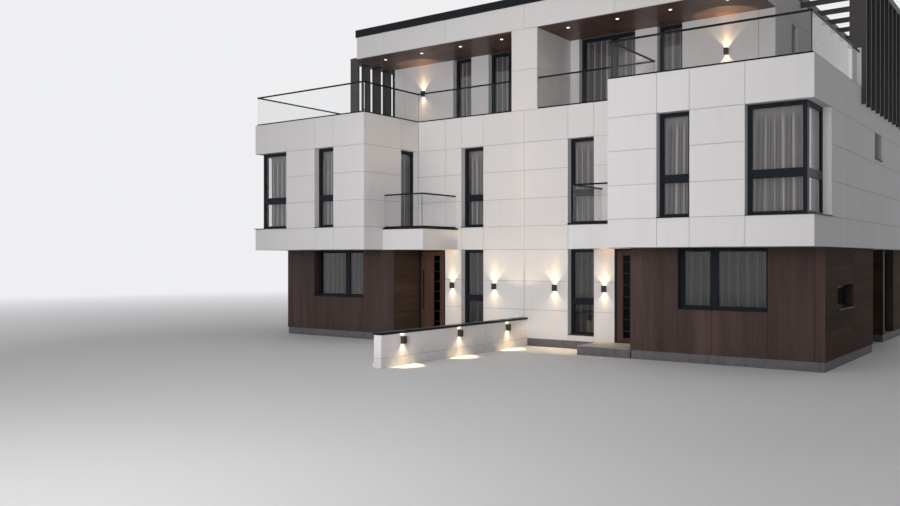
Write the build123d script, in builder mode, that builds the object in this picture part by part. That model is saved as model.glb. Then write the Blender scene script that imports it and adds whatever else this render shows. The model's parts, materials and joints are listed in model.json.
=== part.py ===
"""A pair of mirrored three-storey homes that form one modern white villa."""
import os

from build123d import *

# All sizes in millimetres. x = 0 is the party line between the two homes, y = 0 the main front
# wall with the street towards -y, and z = 0 the ground. Each home is drawn on the +x side.

# Plan of one home
half_width = 8330
box_inner_x = 3775
box_projection = 2490
back_y = 10400
wall = 300
party_half = 125
top_half_width = 6320
loggia_depth = 1915
pier_half = 420

# Ground floor plan
timber_front = 1200
timber_inner_lap = 25
timber_side_setback = 90
doorway_width = 990
niche_start_y = 3890
niche_length = 3060
niche_depth = 990
rear_side_setback = 380
plinth_inset = 20
timber_inner_x = box_inner_x - timber_inner_lap
timber_side_x = half_width - timber_side_setback
doorway_x = timber_inner_x - doorway_width
niche_end_y = niche_start_y + niche_length
niche_x = timber_side_x - niche_depth
rear_side_x = half_width - rear_side_setback

# Levels, each storey standing on the one below
plinth_height = 215
floor_finish = 25
ground_wall_height = 2480
soffit_board = 50
floor_slab = 300
floor_build_up = 585
storey_height = 3080
parapet_height = 240
rear_parapet_rise = 960
top_room_height = 2520
roof_slab_depth = 250
fascia_height = 695
cap_height = 230
ground_level = plinth_height + floor_finish
storey_base = plinth_height + ground_wall_height
first_level = storey_base + floor_build_up
terrace_level = first_level + storey_height
parapet_top = terrace_level + parapet_height
rear_parapet_top = parapet_top + rear_parapet_rise
roof_base = terrace_level + top_room_height
fascia_top = roof_base + fascia_height
cap_top = fascia_top + cap_height

# Roof edge
fascia_wall = 150
cap_proud = 30
cap_inner_lap = 30
roof_joint = 3
loggia_board = 20
board_setback = 10

# Window joinery
window_recess = 180
frame_width = 80
frame_depth = 80
glass_thickness = 24
sill_plate = 20
sill_proud = 30
bar_width = 170

# Window sizes, and their places from the walls and floors that they belong to
ground_sill_rise = 155
ground_transom_rise = 915
first_sill_rise = 655
first_transom_rise = 875
first_window_height = 2345
narrow_left = 1385
narrow_width = 775
box_window_offset = 1200
box_window_width = 755
corner_window_front = 1390
corner_window_side = 1455
corner_joint = 2
timber_window_offset = 1215
timber_window_width = 2070
timber_window_rise = 1040
timber_mullion_offset = 800
strip_offset = 1140
strip_width = 1617
strip_rise = 1063
strip_height = 558
high_front_y = 3618
high_width = 945
high_height = 682
rear_door_width = 1310
terrace_door_inset = 915
balcony_door_near = 32
balcony_door_width = 805
top_window_left = 720
top_window_width = 1755
top_mullion_offset = 1035
top_narrow_left = 3140
top_narrow_width = 710
top_side_front_y = 3450
top_side_width = 550
top_sill_rise = 60
top_back_sill_rise = 100
narrow_right = narrow_left + narrow_width
window_sill_ground = plinth_height + ground_sill_rise
transom_ground = window_sill_ground + ground_transom_rise
window_sill_first = storey_base + first_sill_rise
transom_first = window_sill_first + first_transom_rise
window_head_first = window_sill_first + first_window_height
box_window_left = box_inner_x + box_window_offset
box_window_right = box_window_left + box_window_width
corner_window_left = half_width - corner_window_front
corner_window_return = box_projection - corner_window_side
timber_window_left = timber_inner_x + timber_window_offset
timber_window_right = timber_window_left + timber_window_width
timber_window_sill = plinth_height + timber_window_rise
timber_mullion = timber_window_left + timber_mullion_offset
strip_front_y = strip_offset - timber_front
strip_back_y = strip_front_y + strip_width
strip_sill = plinth_height + strip_rise
strip_head = strip_sill + strip_height
high_back_y = high_front_y + high_width
high_sill = window_head_first - high_height
rear_door_front_y = niche_end_y + wall
rear_door_back_y = rear_door_front_y + rear_door_width
terrace_door_right = rear_side_x - terrace_door_inset
terrace_door_left = terrace_door_right - timber_window_width
terrace_door_mullion = terrace_door_left + timber_mullion_offset
balcony_door_far = balcony_door_near + balcony_door_width
top_window_right = top_window_left + top_window_width
top_mullion = top_window_left + top_mullion_offset
top_narrow_right = top_narrow_left + top_narrow_width
top_side_back_y = top_side_front_y + top_side_width
top_window_sill = terrace_level + top_sill_rise
top_back_sill = parapet_top + top_back_sill_rise

# Curtains, each a plain hanging sheet behind its window
curtain_offset = 40
curtain_thickness = 60
curtain_overlap = 90
curtain_floor_gap = 20
corner_curtain_end = 130

# Entrance door, its frame flush with the plinth and its hinges beside the white wall
jamb = 40
threshold_height = 20
leaf_gap = 9
leaf_thickness = 60
leaf_setback = 20
door_stop = 12
door_stop_depth = 15
door_glass_offset = 225
door_glass_width = 230
door_glass_margin = 120
door_glass_thickness = 30
hinge_offset = 16
hinge_count = 3
lowest_hinge_rise = 240
hinge_spacing = 970
hinge_pin = 6
hinge_pin_clearance = 0.3
hinge_boss = 8
hinge_knuckle = 11
hinge_length = 90
hinge_arm = 28
hinge_flap = 45
handle_bar = 26
handle_length = 1200
handle_foot_rise = 650
handle_stand_off = 55
handle_edge = 115
handle_post_inset = 110
lever_rise = 1050
lever_plate_width, lever_plate_height = 40, 220
lever_plate_thickness = 8
lever_length = 130
lever_reach = 50
door_frame_face = plinth_inset
door_frame_depth = leaf_setback + leaf_thickness
door_glass_left = doorway_x + door_glass_offset
door_glass_right = door_glass_left + door_glass_width
hinge_levels = [ground_level + lowest_hinge_rise + count * hinge_spacing
                for count in range(hinge_count)]
lever_level = ground_level + lever_rise

# Porch and balcony
porch_width = 1450
porch_height = 235
balcony_front = 1665
balcony_width = 1475
balcony_trim = 50
balcony_trim_width = 180
balcony_trim_proud = 15
balcony_guard_inset = 90
balcony_guard_rise = 1020
terrace_guard_inset = 60
terrace_guard_rise = 890
guard_glass = 20
guard_rail = 40
guard_joint = 3
porch_left = timber_inner_x - porch_width
balcony_left = box_inner_x - balcony_width
balcony_guard_top = first_level + balcony_guard_rise
terrace_guard_top = parapet_top + terrace_guard_rise

# Fins and pergola
fin_setback = 110
fin_pitch = 580
fin_thickness = 60
fin_grip, fin_proud = 272, 108
fin_drop = 410
fin_beam_depth = 180
fin_beam_setback = 35
purlin_depth = 140
purlin_width = 60
purlin_every = 2
fin_first_y = loggia_depth + fin_setback
fin_count = int((back_y - fin_first_y - fin_thickness) // fin_pitch) + 1
fin_inner_x, fin_outer_x = half_width - fin_grip, half_width + fin_proud
fin_low = parapet_top - fin_drop
fin_beam_top = fascia_top - fin_beam_setback
fin_top = fin_beam_top - fin_beam_depth

# Lamps
lamp_width, lamp_height, lamp_depth = 110, 170, 95
lamp_wall = 8
lamp_pocket = 35
lamp_inner_x = 990
lamp_door_offset = 285
lamp_ground_rise = 1425
lamp_top_x = 5070
lamp_top_rise = 1545
lamp_garden_first = 1060
lamp_garden_pitch = 2225
lamp_garden_count = 3
lamp_garden_drop = 205
downlight_radius = 45
downlight_depth = 6
downlight_first_x = 1100
downlight_pitch = 1485
downlight_count = 4
downlight_y = 540

# Garden wall on the party line
garden_half = 108
garden_length = 6250
garden_height = 790
garden_cap = 50
garden_cap_proud = 12

# Faces that carry windows: local x runs along the wall, local y is up, the normal points outwards
main_face = Plane((0, 0, 0), x_dir=(1, 0, 0), z_dir=(0, -1, 0))
box_face = Plane((0, -box_projection, 0), x_dir=(1, 0, 0), z_dir=(0, -1, 0))
timber_face = Plane((0, -timber_front, 0), x_dir=(1, 0, 0), z_dir=(0, -1, 0))
loggia_face = Plane((0, loggia_depth, 0), x_dir=(1, 0, 0), z_dir=(0, -1, 0))
side_face = Plane((half_width, 0, 0), x_dir=(0, 1, 0), z_dir=(1, 0, 0))
timber_side_face = Plane((timber_side_x, 0, 0), x_dir=(0, 1, 0), z_dir=(1, 0, 0))
rear_side_face = Plane((rear_side_x, 0, 0), x_dir=(0, 1, 0), z_dir=(1, 0, 0))
top_side_face = Plane((top_half_width, 0, 0), x_dir=(0, 1, 0), z_dir=(1, 0, 0))
balcony_face = Plane((box_inner_x, 0, 0), x_dir=(0, -1, 0), z_dir=(-1, 0, 0))
back_face = Plane((0, back_y, 0), x_dir=(-1, 0, 0), z_dir=(0, 1, 0))


class Window:
    """An opening on a face, with its bars; joint shortens the frame away from a corner."""

    def __init__(self, face, left, right, sill, head, transom=None, mullion=None, joint=(0, 0)):
        self.face = face
        self.left, self.right, self.sill, self.head = left, right, sill, head
        self.transom, self.mullion = transom, mullion
        self.frame_left, self.frame_right = left + joint[0], right - joint[1]

    def panes(self):
        """The clear panes between frame and bars, as left, right, low, high."""
        across = [self.frame_left + frame_width, self.frame_right - frame_width]
        if self.mullion:
            across[1:1] = [self.mullion - bar_width / 2, self.mullion + bar_width / 2]
        upward = [self.sill + frame_width, self.head - frame_width]
        if self.transom:
            upward[1:1] = [self.transom - bar_width / 2, self.transom + bar_width / 2]
        columns = list(zip(across[::2], across[1::2]))
        rows = list(zip(upward[::2], upward[1::2]))
        return [(left, right, low, high) for left, right in columns for low, high in rows]


def back_window(left, right, sill, head, transom=None, mullion=None):
    """A window in the back wall, given by its places along x."""
    return Window(back_face, -right, -left, sill, head, transom, -mullion if mullion else None)


first_sizes = (window_sill_first, window_head_first, transom_first)

# Ground floor windows
main_ground = Window(main_face, narrow_left, narrow_right, window_sill_ground, storey_base,
                     transom_ground)
timber_window = Window(timber_face, timber_window_left, timber_window_right, timber_window_sill,
                       storey_base, mullion=timber_mullion)
strip_window = Window(timber_side_face, strip_front_y, strip_back_y, strip_sill, strip_head)
rear_side_door = Window(rear_side_face, rear_door_front_y, rear_door_back_y, plinth_height,
                        storey_base)
back_ground = back_window(narrow_left, narrow_right, window_sill_ground, storey_base,
                          transom_ground)
back_terrace_door = back_window(terrace_door_left, terrace_door_right, plinth_height,
                                storey_base, mullion=terrace_door_mullion)

# First floor windows; the two frames of the corner window meet behind both recessed planes
main_first = Window(main_face, narrow_left, narrow_right, *first_sizes)
box_window = Window(box_face, box_window_left, box_window_right, *first_sizes)
corner_front = Window(box_face, corner_window_left, half_width, *first_sizes,
                      joint=(0, window_recess))
corner_side = Window(side_face, -box_projection, -corner_window_return, *first_sizes,
                     joint=(window_recess + frame_depth + corner_joint, 0))
balcony_door = Window(balcony_face, balcony_door_near, balcony_door_far, window_sill_first,
                      window_head_first)
high_window = Window(side_face, high_front_y, high_back_y, high_sill, window_head_first)
back_first = back_window(narrow_left, narrow_right, *first_sizes)
back_box = back_window(box_window_left, box_window_right, *first_sizes)

# Top floor windows
loggia_window = Window(loggia_face, top_window_left, top_window_right, top_window_sill,
                       roof_base, mullion=top_mullion)
loggia_narrow = Window(loggia_face, top_narrow_left, top_narrow_right, top_window_sill, roof_base)
top_side_window = Window(top_side_face, top_side_front_y, top_side_back_y, top_window_sill,
                         window_head_first + terrace_level - first_level)
back_top = back_window(top_window_left, top_window_right, top_back_sill, roof_base,
                       mullion=top_mullion)
back_top_narrow = back_window(top_narrow_left, top_narrow_right, top_back_sill, roof_base)

all_windows = [main_ground, timber_window, strip_window, rear_side_door, back_ground,
               back_terrace_door, main_first, box_window, corner_front, corner_side,
               balcony_door, high_window, back_first, back_box, loggia_window, loggia_narrow,
               top_side_window, back_top, back_top_narrow]
plain_sills = [main_ground, timber_window, strip_window, back_ground, main_first, box_window,
               high_window, back_first, back_box, back_top, back_top_narrow]


def outline_solid(points, low, high, mode=Mode.ADD):
    """Raise a closed outline of x, y points from one level to another."""
    with BuildSketch(Plane.XY.offset(low)) as footprint:
        with BuildLine():
            Polyline(*points, close=True)
        make_face()
    extrude(footprint.sketch, amount=high - low, mode=mode)


def block(x_range, y_range, z_range, mode=Mode.ADD):
    """A straight run of wall, slab or bar between three pairs of limits."""
    (x0, x1), (y0, y1), (z0, z1) = x_range, y_range, z_range
    outline_solid([(x0, y0), (x1, y0), (x1, y1), (x0, y1)], z0, z1, mode)


def on_face(face, left, right, low, high, depth, thickness, mode=Mode.ADD):
    """A rectangle on a wall's face, from a depth behind it and inwards by its thickness."""
    with BuildSketch(face.offset(-depth - thickness)) as panel:
        with Locations(((left + right) / 2, (low + high) / 2)):
            Rectangle(right - left, high - low)
    extrude(panel.sketch, amount=thickness, mode=mode)


def cut_windows(windows):
    """Cut the openings through the wall that is being made."""
    for window in windows:
        on_face(window.face, window.left, window.right, window.sill, window.head, 0, wall,
                Mode.SUBTRACT)


def add_frame(window):
    """A frame with its bars, set back in its opening, made as one welded piece."""
    with BuildSketch(window.face.offset(-window_recess - frame_depth)) as profile:
        width = window.frame_right - window.frame_left
        with Locations((window.frame_left + width / 2, (window.sill + window.head) / 2)):
            Rectangle(width, window.head - window.sill)
        for left, right, low, high in window.panes():
            with Locations(((left + right) / 2, (low + high) / 2)):
                Rectangle(right - left, high - low, mode=Mode.SUBTRACT)
    extrude(profile.sketch, amount=frame_depth)


def add_glass(window):
    """The glass units, each filling its pane at mid depth of the frame."""
    depth = window_recess + (frame_depth - glass_thickness) / 2
    for left, right, low, high in window.panes():
        on_face(window.face, left, right, low, high, depth, glass_thickness)


def add_curtain(window, floor, ceiling, left=None, right=None):
    """A sheet that hangs from the ceiling behind a window, clear of the floor."""
    left = window.left - curtain_overlap if left is None else left
    right = window.right + curtain_overlap if right is None else right
    on_face(window.face, left, right, floor + curtain_floor_gap, ceiling,
            wall + curtain_offset, curtain_thickness)


def floor_outline():
    """The space inside the upper walls: the box room in front and the main rooms behind."""
    inner_box = box_inner_x + wall
    inner_side = half_width - wall
    return [(party_half, wall), (inner_box, wall), (inner_box, wall - box_projection),
            (inner_side, wall - box_projection), (inner_side, back_y - wall),
            (party_half, back_y - wall)]


def save(piece, name):
    """Name a finished piece and write it."""
    piece.part.label = name
    export_step(piece.part, f"parts/{name}.step")


os.makedirs("parts", exist_ok=True)

# Foundation: one grey plinth under all ground floor walls, stepping round the side niches
with BuildPart() as foundation:
    inset = plinth_inset
    half_plan = [(0, inset), (timber_inner_x + inset, inset),
                 (timber_inner_x + inset, inset - timber_front),
                 (timber_side_x - inset, inset - timber_front),
                 (timber_side_x - inset, niche_start_y - inset),
                 (niche_x - inset, niche_start_y - inset), (niche_x - inset, niche_end_y + inset),
                 (rear_side_x - inset, niche_end_y + inset), (rear_side_x - inset, back_y - inset),
                 (0, back_y - inset)]
    outline_solid(half_plan, 0, plinth_height)
    mirror(about=Plane.YZ)
save(foundation, "foundation")

with BuildPart() as ground_floor:
    threshold_back = door_frame_face + door_frame_depth
    outline_solid([(party_half, wall), (doorway_x, wall), (doorway_x, threshold_back),
                   (timber_inner_x, threshold_back), (timber_inner_x, wall),
                   (timber_inner_x + wall, wall), (timber_inner_x + wall, wall - timber_front),
                   (timber_side_x - wall, wall - timber_front),
                   (timber_side_x - wall, niche_start_y - wall),
                   (niche_x - wall, niche_start_y - wall), (niche_x - wall, niche_end_y + wall),
                   (rear_side_x - wall, niche_end_y + wall), (rear_side_x - wall, back_y - wall),
                   (party_half, back_y - wall)], plinth_height, ground_level)
    mirror(about=Plane.YZ)
save(ground_floor, "ground_floor")

with BuildPart() as porch_slabs:
    outline_solid([(porch_left, -timber_front), (timber_inner_x, -timber_front),
                   (timber_inner_x, plinth_inset), (doorway_x, plinth_inset), (doorway_x, 0),
                   (porch_left, 0)], 0, porch_height)
    mirror(about=Plane.YZ)
save(porch_slabs, "porch_slabs")

# Party wall, stepped down behind the loggia pier
with BuildPart() as party_wall:
    with BuildSketch(Plane.YZ.offset(-party_half)):
        with BuildLine():
            Polyline((wall, plinth_height), (back_y - wall, plinth_height),
                     (back_y - wall, roof_base), (loggia_depth + wall, roof_base),
                     (loggia_depth + wall, terrace_level), (wall, terrace_level), close=True)
        make_face()
    extrude(amount=2 * party_half)
save(party_wall, "party_wall")

# White walls of the main front
with BuildPart() as front_wall_ground:
    block((0, doorway_x), (0, wall), (plinth_height, storey_base))
    cut_windows([main_ground])
    mirror(about=Plane.YZ)
save(front_wall_ground, "front_wall_ground")

with BuildPart() as front_wall_first:
    block((0, box_inner_x), (0, wall), (storey_base, parapet_top))
    cut_windows([main_first])
    mirror(about=Plane.YZ)
save(front_wall_first, "front_wall_first")

# Boxes that stand out over the ground floor
with BuildPart() as box_front_walls:
    block((box_inner_x, half_width), (-box_projection, wall - box_projection),
          (storey_base, parapet_top))
    cut_windows([box_window, corner_front])
    mirror(about=Plane.YZ)
save(box_front_walls, "box_front_walls")

with BuildPart() as box_inner_walls:
    block((box_inner_x, box_inner_x + wall), (wall - box_projection, wall),
          (storey_base, parapet_top))
    cut_windows([balcony_door])
    mirror(about=Plane.YZ)
save(box_inner_walls, "box_inner_walls")

with BuildPart() as side_walls:
    block((half_width - wall, half_width), (wall - box_projection, back_y - wall),
          (storey_base, parapet_top))
    cut_windows([corner_side, high_window])
    mirror(about=Plane.YZ)
save(side_walls, "side_walls")

# The side walls stand higher behind the loggia line, where the fins begin
with BuildPart() as upper_side_walls:
    block((half_width - wall, half_width), (fin_first_y - fin_thickness / 2, back_y),
          (parapet_top, rear_parapet_top))
    mirror(about=Plane.YZ)
save(upper_side_walls, "upper_side_walls")

with BuildPart() as back_wall_ground:
    block((0, rear_side_x), (back_y - wall, back_y), (plinth_height, storey_base))
    cut_windows([back_ground, back_terrace_door])
    mirror(about=Plane.YZ)
save(back_wall_ground, "back_wall_ground")

with BuildPart() as back_wall_first:
    block((0, half_width), (back_y - wall, back_y), (storey_base, parapet_top))
    cut_windows([back_first, back_box])
    mirror(about=Plane.YZ)
save(back_wall_first, "back_wall_first")

# Timber clad ground floor under the box
with BuildPart() as timber_fronts:
    block((timber_inner_x, timber_side_x), (-timber_front, wall - timber_front),
          (plinth_height, storey_base))
    cut_windows([timber_window])
    mirror(about=Plane.YZ)
save(timber_fronts, "timber_fronts")

with BuildPart() as timber_sides:
    block((timber_side_x - wall, timber_side_x), (wall - timber_front, niche_start_y),
          (plinth_height, storey_base))
    cut_windows([strip_window])
    mirror(about=Plane.YZ)
save(timber_sides, "timber_sides")

with BuildPart() as timber_entrance_walls:
    block((timber_inner_x, timber_inner_x + wall), (wall - timber_front, wall),
          (plinth_height, storey_base))
    mirror(about=Plane.YZ)
save(timber_entrance_walls, "timber_entrance_walls")

# Side niches: the walls that end the front and rear rooms, and the wall between them
with BuildPart() as niche_end_walls:
    block((niche_x - wall, timber_side_x - wall), (niche_start_y - wall, niche_start_y),
          (plinth_height, storey_base))
    block((niche_x - wall, rear_side_x), (niche_end_y, niche_end_y + wall),
          (plinth_height, storey_base))
    mirror(about=Plane.YZ)
save(niche_end_walls, "niche_end_walls")

with BuildPart() as niche_walls:
    block((niche_x - wall, niche_x), (niche_start_y, niche_end_y), (plinth_height, storey_base))
    mirror(about=Plane.YZ)
save(niche_walls, "niche_walls")

with BuildPart() as rear_side_walls:
    block((rear_side_x - wall, rear_side_x), (niche_end_y + wall, back_y - wall),
          (plinth_height, storey_base))
    cut_windows([rear_side_door])
    mirror(about=Plane.YZ)
save(rear_side_walls, "rear_side_walls")

# Floors
with BuildPart() as soffit_boards:
    outline_solid(floor_outline(), storey_base, storey_base + soffit_board)
    mirror(about=Plane.YZ)
save(soffit_boards, "soffit_boards")

with BuildPart() as first_floor_slab:
    outline_solid(floor_outline(), first_level - floor_slab, first_level)
    mirror(about=Plane.YZ)
save(first_floor_slab, "first_floor_slab")

with BuildPart() as terrace_slab:
    outline_solid(floor_outline(), terrace_level - floor_slab, terrace_level)
    mirror(about=Plane.YZ)
save(terrace_slab, "terrace_slab")

# Top floor
with BuildPart() as loggia_pier:
    with BuildSketch(Plane.YZ.offset(-pier_half)):
        with BuildLine():
            Polyline((0, parapet_top), (wall, parapet_top), (wall, terrace_level),
                     (loggia_depth, terrace_level), (loggia_depth, roof_base), (0, roof_base),
                     close=True)
        make_face()
    extrude(amount=2 * pier_half)
save(loggia_pier, "loggia_pier")

with BuildPart() as top_front_wall:
    block((0, top_half_width), (loggia_depth, loggia_depth + wall), (terrace_level, roof_base))
    cut_windows([loggia_window, loggia_narrow])
    mirror(about=Plane.YZ)
save(top_front_wall, "top_front_wall")

with BuildPart() as top_side_walls:
    block((top_half_width - wall, top_half_width), (loggia_depth + wall, back_y - wall),
          (terrace_level, roof_base))
    cut_windows([top_side_window])
    mirror(about=Plane.YZ)
save(top_side_walls, "top_side_walls")

with BuildPart() as top_back_wall:
    block((0, top_half_width), (back_y - wall, back_y), (parapet_top, roof_base))
    cut_windows([back_top, back_top_narrow])
    mirror(about=Plane.YZ)
save(top_back_wall, "top_back_wall")

# Roof
with BuildPart() as loggia_soffit:
    block((pier_half, top_half_width - board_setback), (board_setback, loggia_depth),
          (roof_base - loggia_board, roof_base))
    mirror(about=Plane.YZ)
save(loggia_soffit, "loggia_soffit")

with BuildPart() as roof_slab:
    slab_half = top_half_width - fascia_wall
    block((-slab_half, slab_half), (fascia_wall, back_y - fascia_wall),
          (roof_base, roof_base + roof_slab_depth))
save(roof_slab, "roof_slab")

with BuildPart() as roof_fascia:
    for front in (0, back_y - fascia_wall):
        block((-top_half_width, top_half_width), (front, front + fascia_wall),
              (roof_base, fascia_top))
    for inner in (-top_half_width, top_half_width - fascia_wall):
        block((inner, inner + fascia_wall),
              (fascia_wall + roof_joint, back_y - fascia_wall - roof_joint),
              (roof_base, fascia_top))
save(roof_fascia, "roof_fascia")

with BuildPart() as roof_cap:
    cap_width = cap_proud + fascia_wall + cap_inner_lap
    cap_half = top_half_width + cap_proud
    for front in (-cap_proud, back_y + cap_proud - cap_width):
        block((-cap_half, cap_half), (front, front + cap_width), (fascia_top, cap_top))
    for inner in (-cap_half, cap_half - cap_width):
        block((inner, inner + cap_width),
              (cap_width - cap_proud + roof_joint, back_y + cap_proud - cap_width - roof_joint),
              (fascia_top, cap_top))
save(roof_cap, "roof_cap")

# Windows of all storeys
with BuildPart() as window_frames:
    for window in all_windows:
        add_frame(window)
    mirror(about=Plane.YZ)
save(window_frames, "window_frames")

with BuildPart() as window_glass:
    for window in all_windows:
        add_glass(window)
    mirror(about=Plane.YZ)
save(window_glass, "window_glass")

with BuildPart() as window_sills:
    for window in plain_sills:
        on_face(window.face, window.left, window.right, window.sill, window.sill + sill_plate,
                -sill_proud, sill_proud + window_recess)
    corner_outer = half_width + sill_proud
    corner_inner = half_width - window_recess
    outline_solid([(corner_window_left, -box_projection - sill_proud),
                   (corner_outer, -box_projection - sill_proud),
                   (corner_outer, -corner_window_return), (corner_inner, -corner_window_return),
                   (corner_inner, window_recess - box_projection),
                   (corner_window_left, window_recess - box_projection)],
                  window_sill_first, window_sill_first + sill_plate)
    mirror(about=Plane.YZ)
save(window_sills, "window_sills")

# Curtains hang from each ceiling a little inside the windows
with BuildPart() as curtains:
    corner_clear = wall + corner_curtain_end
    for window in (main_ground, timber_window, back_ground, back_terrace_door):
        add_curtain(window, ground_level, storey_base)
    add_curtain(rear_side_door, ground_level, storey_base,
                left=rear_side_door.left + curtain_floor_gap)
    first_ceiling = terrace_level - floor_slab
    for window in (main_first, box_window, balcony_door, back_first, back_box):
        add_curtain(window, first_level, first_ceiling)
    add_curtain(corner_front, first_level, first_ceiling, right=half_width - corner_clear)
    add_curtain(corner_side, first_level, first_ceiling, left=corner_clear - box_projection)
    for window in (loggia_window, loggia_narrow, top_side_window, back_top, back_top_narrow):
        add_curtain(window, terrace_level, roof_base)
    mirror(about=Plane.YZ)
save(curtains, "curtains")

# Balconies in the inner corners
with BuildPart() as balcony_slabs:
    block((balcony_left, box_inner_x), (-balcony_front, 0), (storey_base, first_level))
    mirror(about=Plane.YZ)
save(balcony_slabs, "balcony_slabs")

with BuildPart() as balcony_trims:
    trim_left = balcony_left - balcony_trim_proud
    trim_front = -balcony_front - balcony_trim_proud
    trim_inside = balcony_left + balcony_trim_width
    trim_back = balcony_trim_width - balcony_front
    outline_solid([(trim_left, trim_front), (box_inner_x, trim_front), (box_inner_x, trim_back),
                   (trim_inside, trim_back), (trim_inside, 0), (trim_left, 0)],
                  first_level, first_level + balcony_trim)
    mirror(about=Plane.YZ)
save(balcony_trims, "balcony_trims")

# Glass guards: each run is an axis, its place across, its two ends, its foot and its top
terrace_inner = box_inner_x + terrace_guard_inset
terrace_outer = half_width - terrace_guard_inset
terrace_front = terrace_guard_inset - box_projection
half_rail = guard_rail / 2
balcony_foot = first_level + balcony_trim
balcony_guard_x = balcony_left + balcony_guard_inset
balcony_guard_y = balcony_guard_inset - balcony_front
fin_front = fin_first_y - fin_thickness / 2
guard_runs = [
    ("x", terrace_guard_inset, pier_half, terrace_inner - half_rail - guard_joint,
     parapet_top, terrace_guard_top),
    ("y", terrace_inner, terrace_front + half_rail + guard_joint,
     terrace_guard_inset + half_rail, parapet_top, terrace_guard_top),
    ("x", terrace_front, terrace_inner - half_rail, terrace_outer - half_rail - guard_joint,
     parapet_top, terrace_guard_top),
    ("y", terrace_outer, terrace_front - half_rail, fin_front, parapet_top, terrace_guard_top),
    ("y", balcony_guard_x, balcony_guard_y - half_rail, 0, balcony_foot, balcony_guard_top),
    ("x", balcony_guard_y, balcony_guard_x + half_rail + guard_joint, box_inner_x, balcony_foot,
     balcony_guard_top),
]


def guard_bar(run, width, low, high):
    """One straight bar or sheet of a guard, centred on its run."""
    axis, across, start, end = run[:4]
    along, beside = (start, end), (across - width / 2, across + width / 2)
    block(*((along, beside) if axis == "x" else (beside, along)), (low, high))


with BuildPart() as guard_rails:
    for run in guard_runs:
        foot, top = run[4:]
        guard_bar(run, guard_rail, foot, foot + guard_rail)
        guard_bar(run, guard_rail, top - guard_rail, top)
    mirror(about=Plane.YZ)
save(guard_rails, "guard_rails")

with BuildPart() as guard_glass_sheets:
    for run in guard_runs:
        foot, top = run[4:]
        guard_bar(run, guard_glass, foot + guard_rail, top - guard_rail)
    mirror(about=Plane.YZ)
save(guard_glass_sheets, "guard_glass")

# Upright fins that grip the raised side walls, with a beam along their heads
with BuildPart() as fins:
    blade_plan = [(fin_inner_x, rear_parapet_top), (half_width, rear_parapet_top),
                  (half_width, fin_low), (fin_outer_x, fin_low), (fin_outer_x, fin_top),
                  (fin_inner_x, fin_top)]
    for count in range(fin_count):
        back_of_blade = fin_front + fin_thickness + count * fin_pitch
        with BuildSketch(Plane.XZ.offset(-back_of_blade)):
            with BuildLine():
                Polyline(*blade_plan, close=True)
            make_face()
        extrude(amount=fin_thickness)
    mirror(about=Plane.YZ)
save(fins, "fins")

with BuildPart() as fin_beams:
    fin_end = fin_front + fin_thickness + (fin_count - 1) * fin_pitch
    block((fin_inner_x, fin_outer_x), (fin_front, fin_end), (fin_top, fin_beam_top))
    mirror(about=Plane.YZ)
save(fin_beams, "fin_beams")

with BuildPart() as pergola_beams:
    for count in range(0, fin_count, purlin_every):
        purlin_front = fin_first_y + count * fin_pitch - purlin_width / 2
        block((top_half_width, fin_inner_x), (purlin_front, purlin_front + purlin_width),
              (fin_beam_top - purlin_depth, fin_beam_top))
    mirror(about=Plane.YZ)
save(pergola_beams, "pergola_beams")

# Entrance doors: the leaf opens inwards on lift-off hinges beside the white wall
leaf_left = doorway_x + jamb + leaf_gap
leaf_right = timber_inner_x - jamb - leaf_gap
leaf_low = ground_level + leaf_gap
leaf_high = storey_base - jamb - leaf_gap
leaf_front = door_frame_face + leaf_setback
leaf_back = leaf_front + leaf_thickness
frame_back = door_frame_face + door_frame_depth
hinge_x = leaf_left - leaf_gap / 2
hinge_y = leaf_back + hinge_offset
print("hinge axis at", hinge_x, hinge_y)

with BuildPart() as door_frames:
    block((doorway_x, timber_inner_x), (door_frame_face, frame_back),
          (plinth_height, storey_base))
    block((doorway_x + jamb, timber_inner_x - jamb), (door_frame_face, frame_back),
          (plinth_height + threshold_height, storey_base - jamb), Mode.SUBTRACT)
    stop_back = door_frame_face + door_stop_depth
    for left in (doorway_x + jamb, timber_inner_x - jamb - door_stop):
        block((left, left + door_stop), (door_frame_face, stop_back),
              (plinth_height + threshold_height, storey_base - jamb))
    block((doorway_x + jamb, timber_inner_x - jamb), (door_frame_face, stop_back),
          (storey_base - jamb - door_stop, storey_base - jamb))
    mirror(about=Plane.YZ)
save(door_frames, "door_frames")

# Lift-off hinges: a pin on an arm behind the jamb, and a knuckle with its flap on the leaf
with BuildPart() as door_hinges:
    for level in hinge_levels:
        low = level - hinge_length / 2
        block((hinge_x - hinge_arm, hinge_x), (hinge_y - hinge_boss, hinge_y + hinge_boss),
              (low, level))
        block((hinge_x - hinge_arm, doorway_x + jamb), (frame_back, hinge_y), (low, level))
        with Locations((hinge_x, hinge_y, level - hinge_length / 4)):
            Cylinder(hinge_boss, hinge_length / 2)
        with Locations((hinge_x, hinge_y, level)):
            Cylinder(hinge_pin, hinge_length)
    mirror(about=Plane.YZ)
save(door_hinges, "door_hinges")

with BuildPart() as hinge_leaves_right:
    for level in hinge_levels:
        foot, head = level + hinge_pin_clearance, level + hinge_length / 2
        block((hinge_x + hinge_boss, hinge_x + hinge_flap), (leaf_back, hinge_y), (foot, head))
        with Locations((hinge_x, hinge_y, (foot + head) / 2)):
            Cylinder(hinge_knuckle, head - foot)
        with Locations((hinge_x, hinge_y, (foot + head) / 2)):
            Cylinder(hinge_pin + hinge_pin_clearance, head - foot, mode=Mode.SUBTRACT)
save(hinge_leaves_right, "hinge_leaves_right")

with BuildPart() as hinge_leaves_left:
    add(hinge_leaves_right.part)
    mirror(about=Plane.YZ, mode=Mode.REPLACE)
save(hinge_leaves_left, "hinge_leaves_left")

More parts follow.
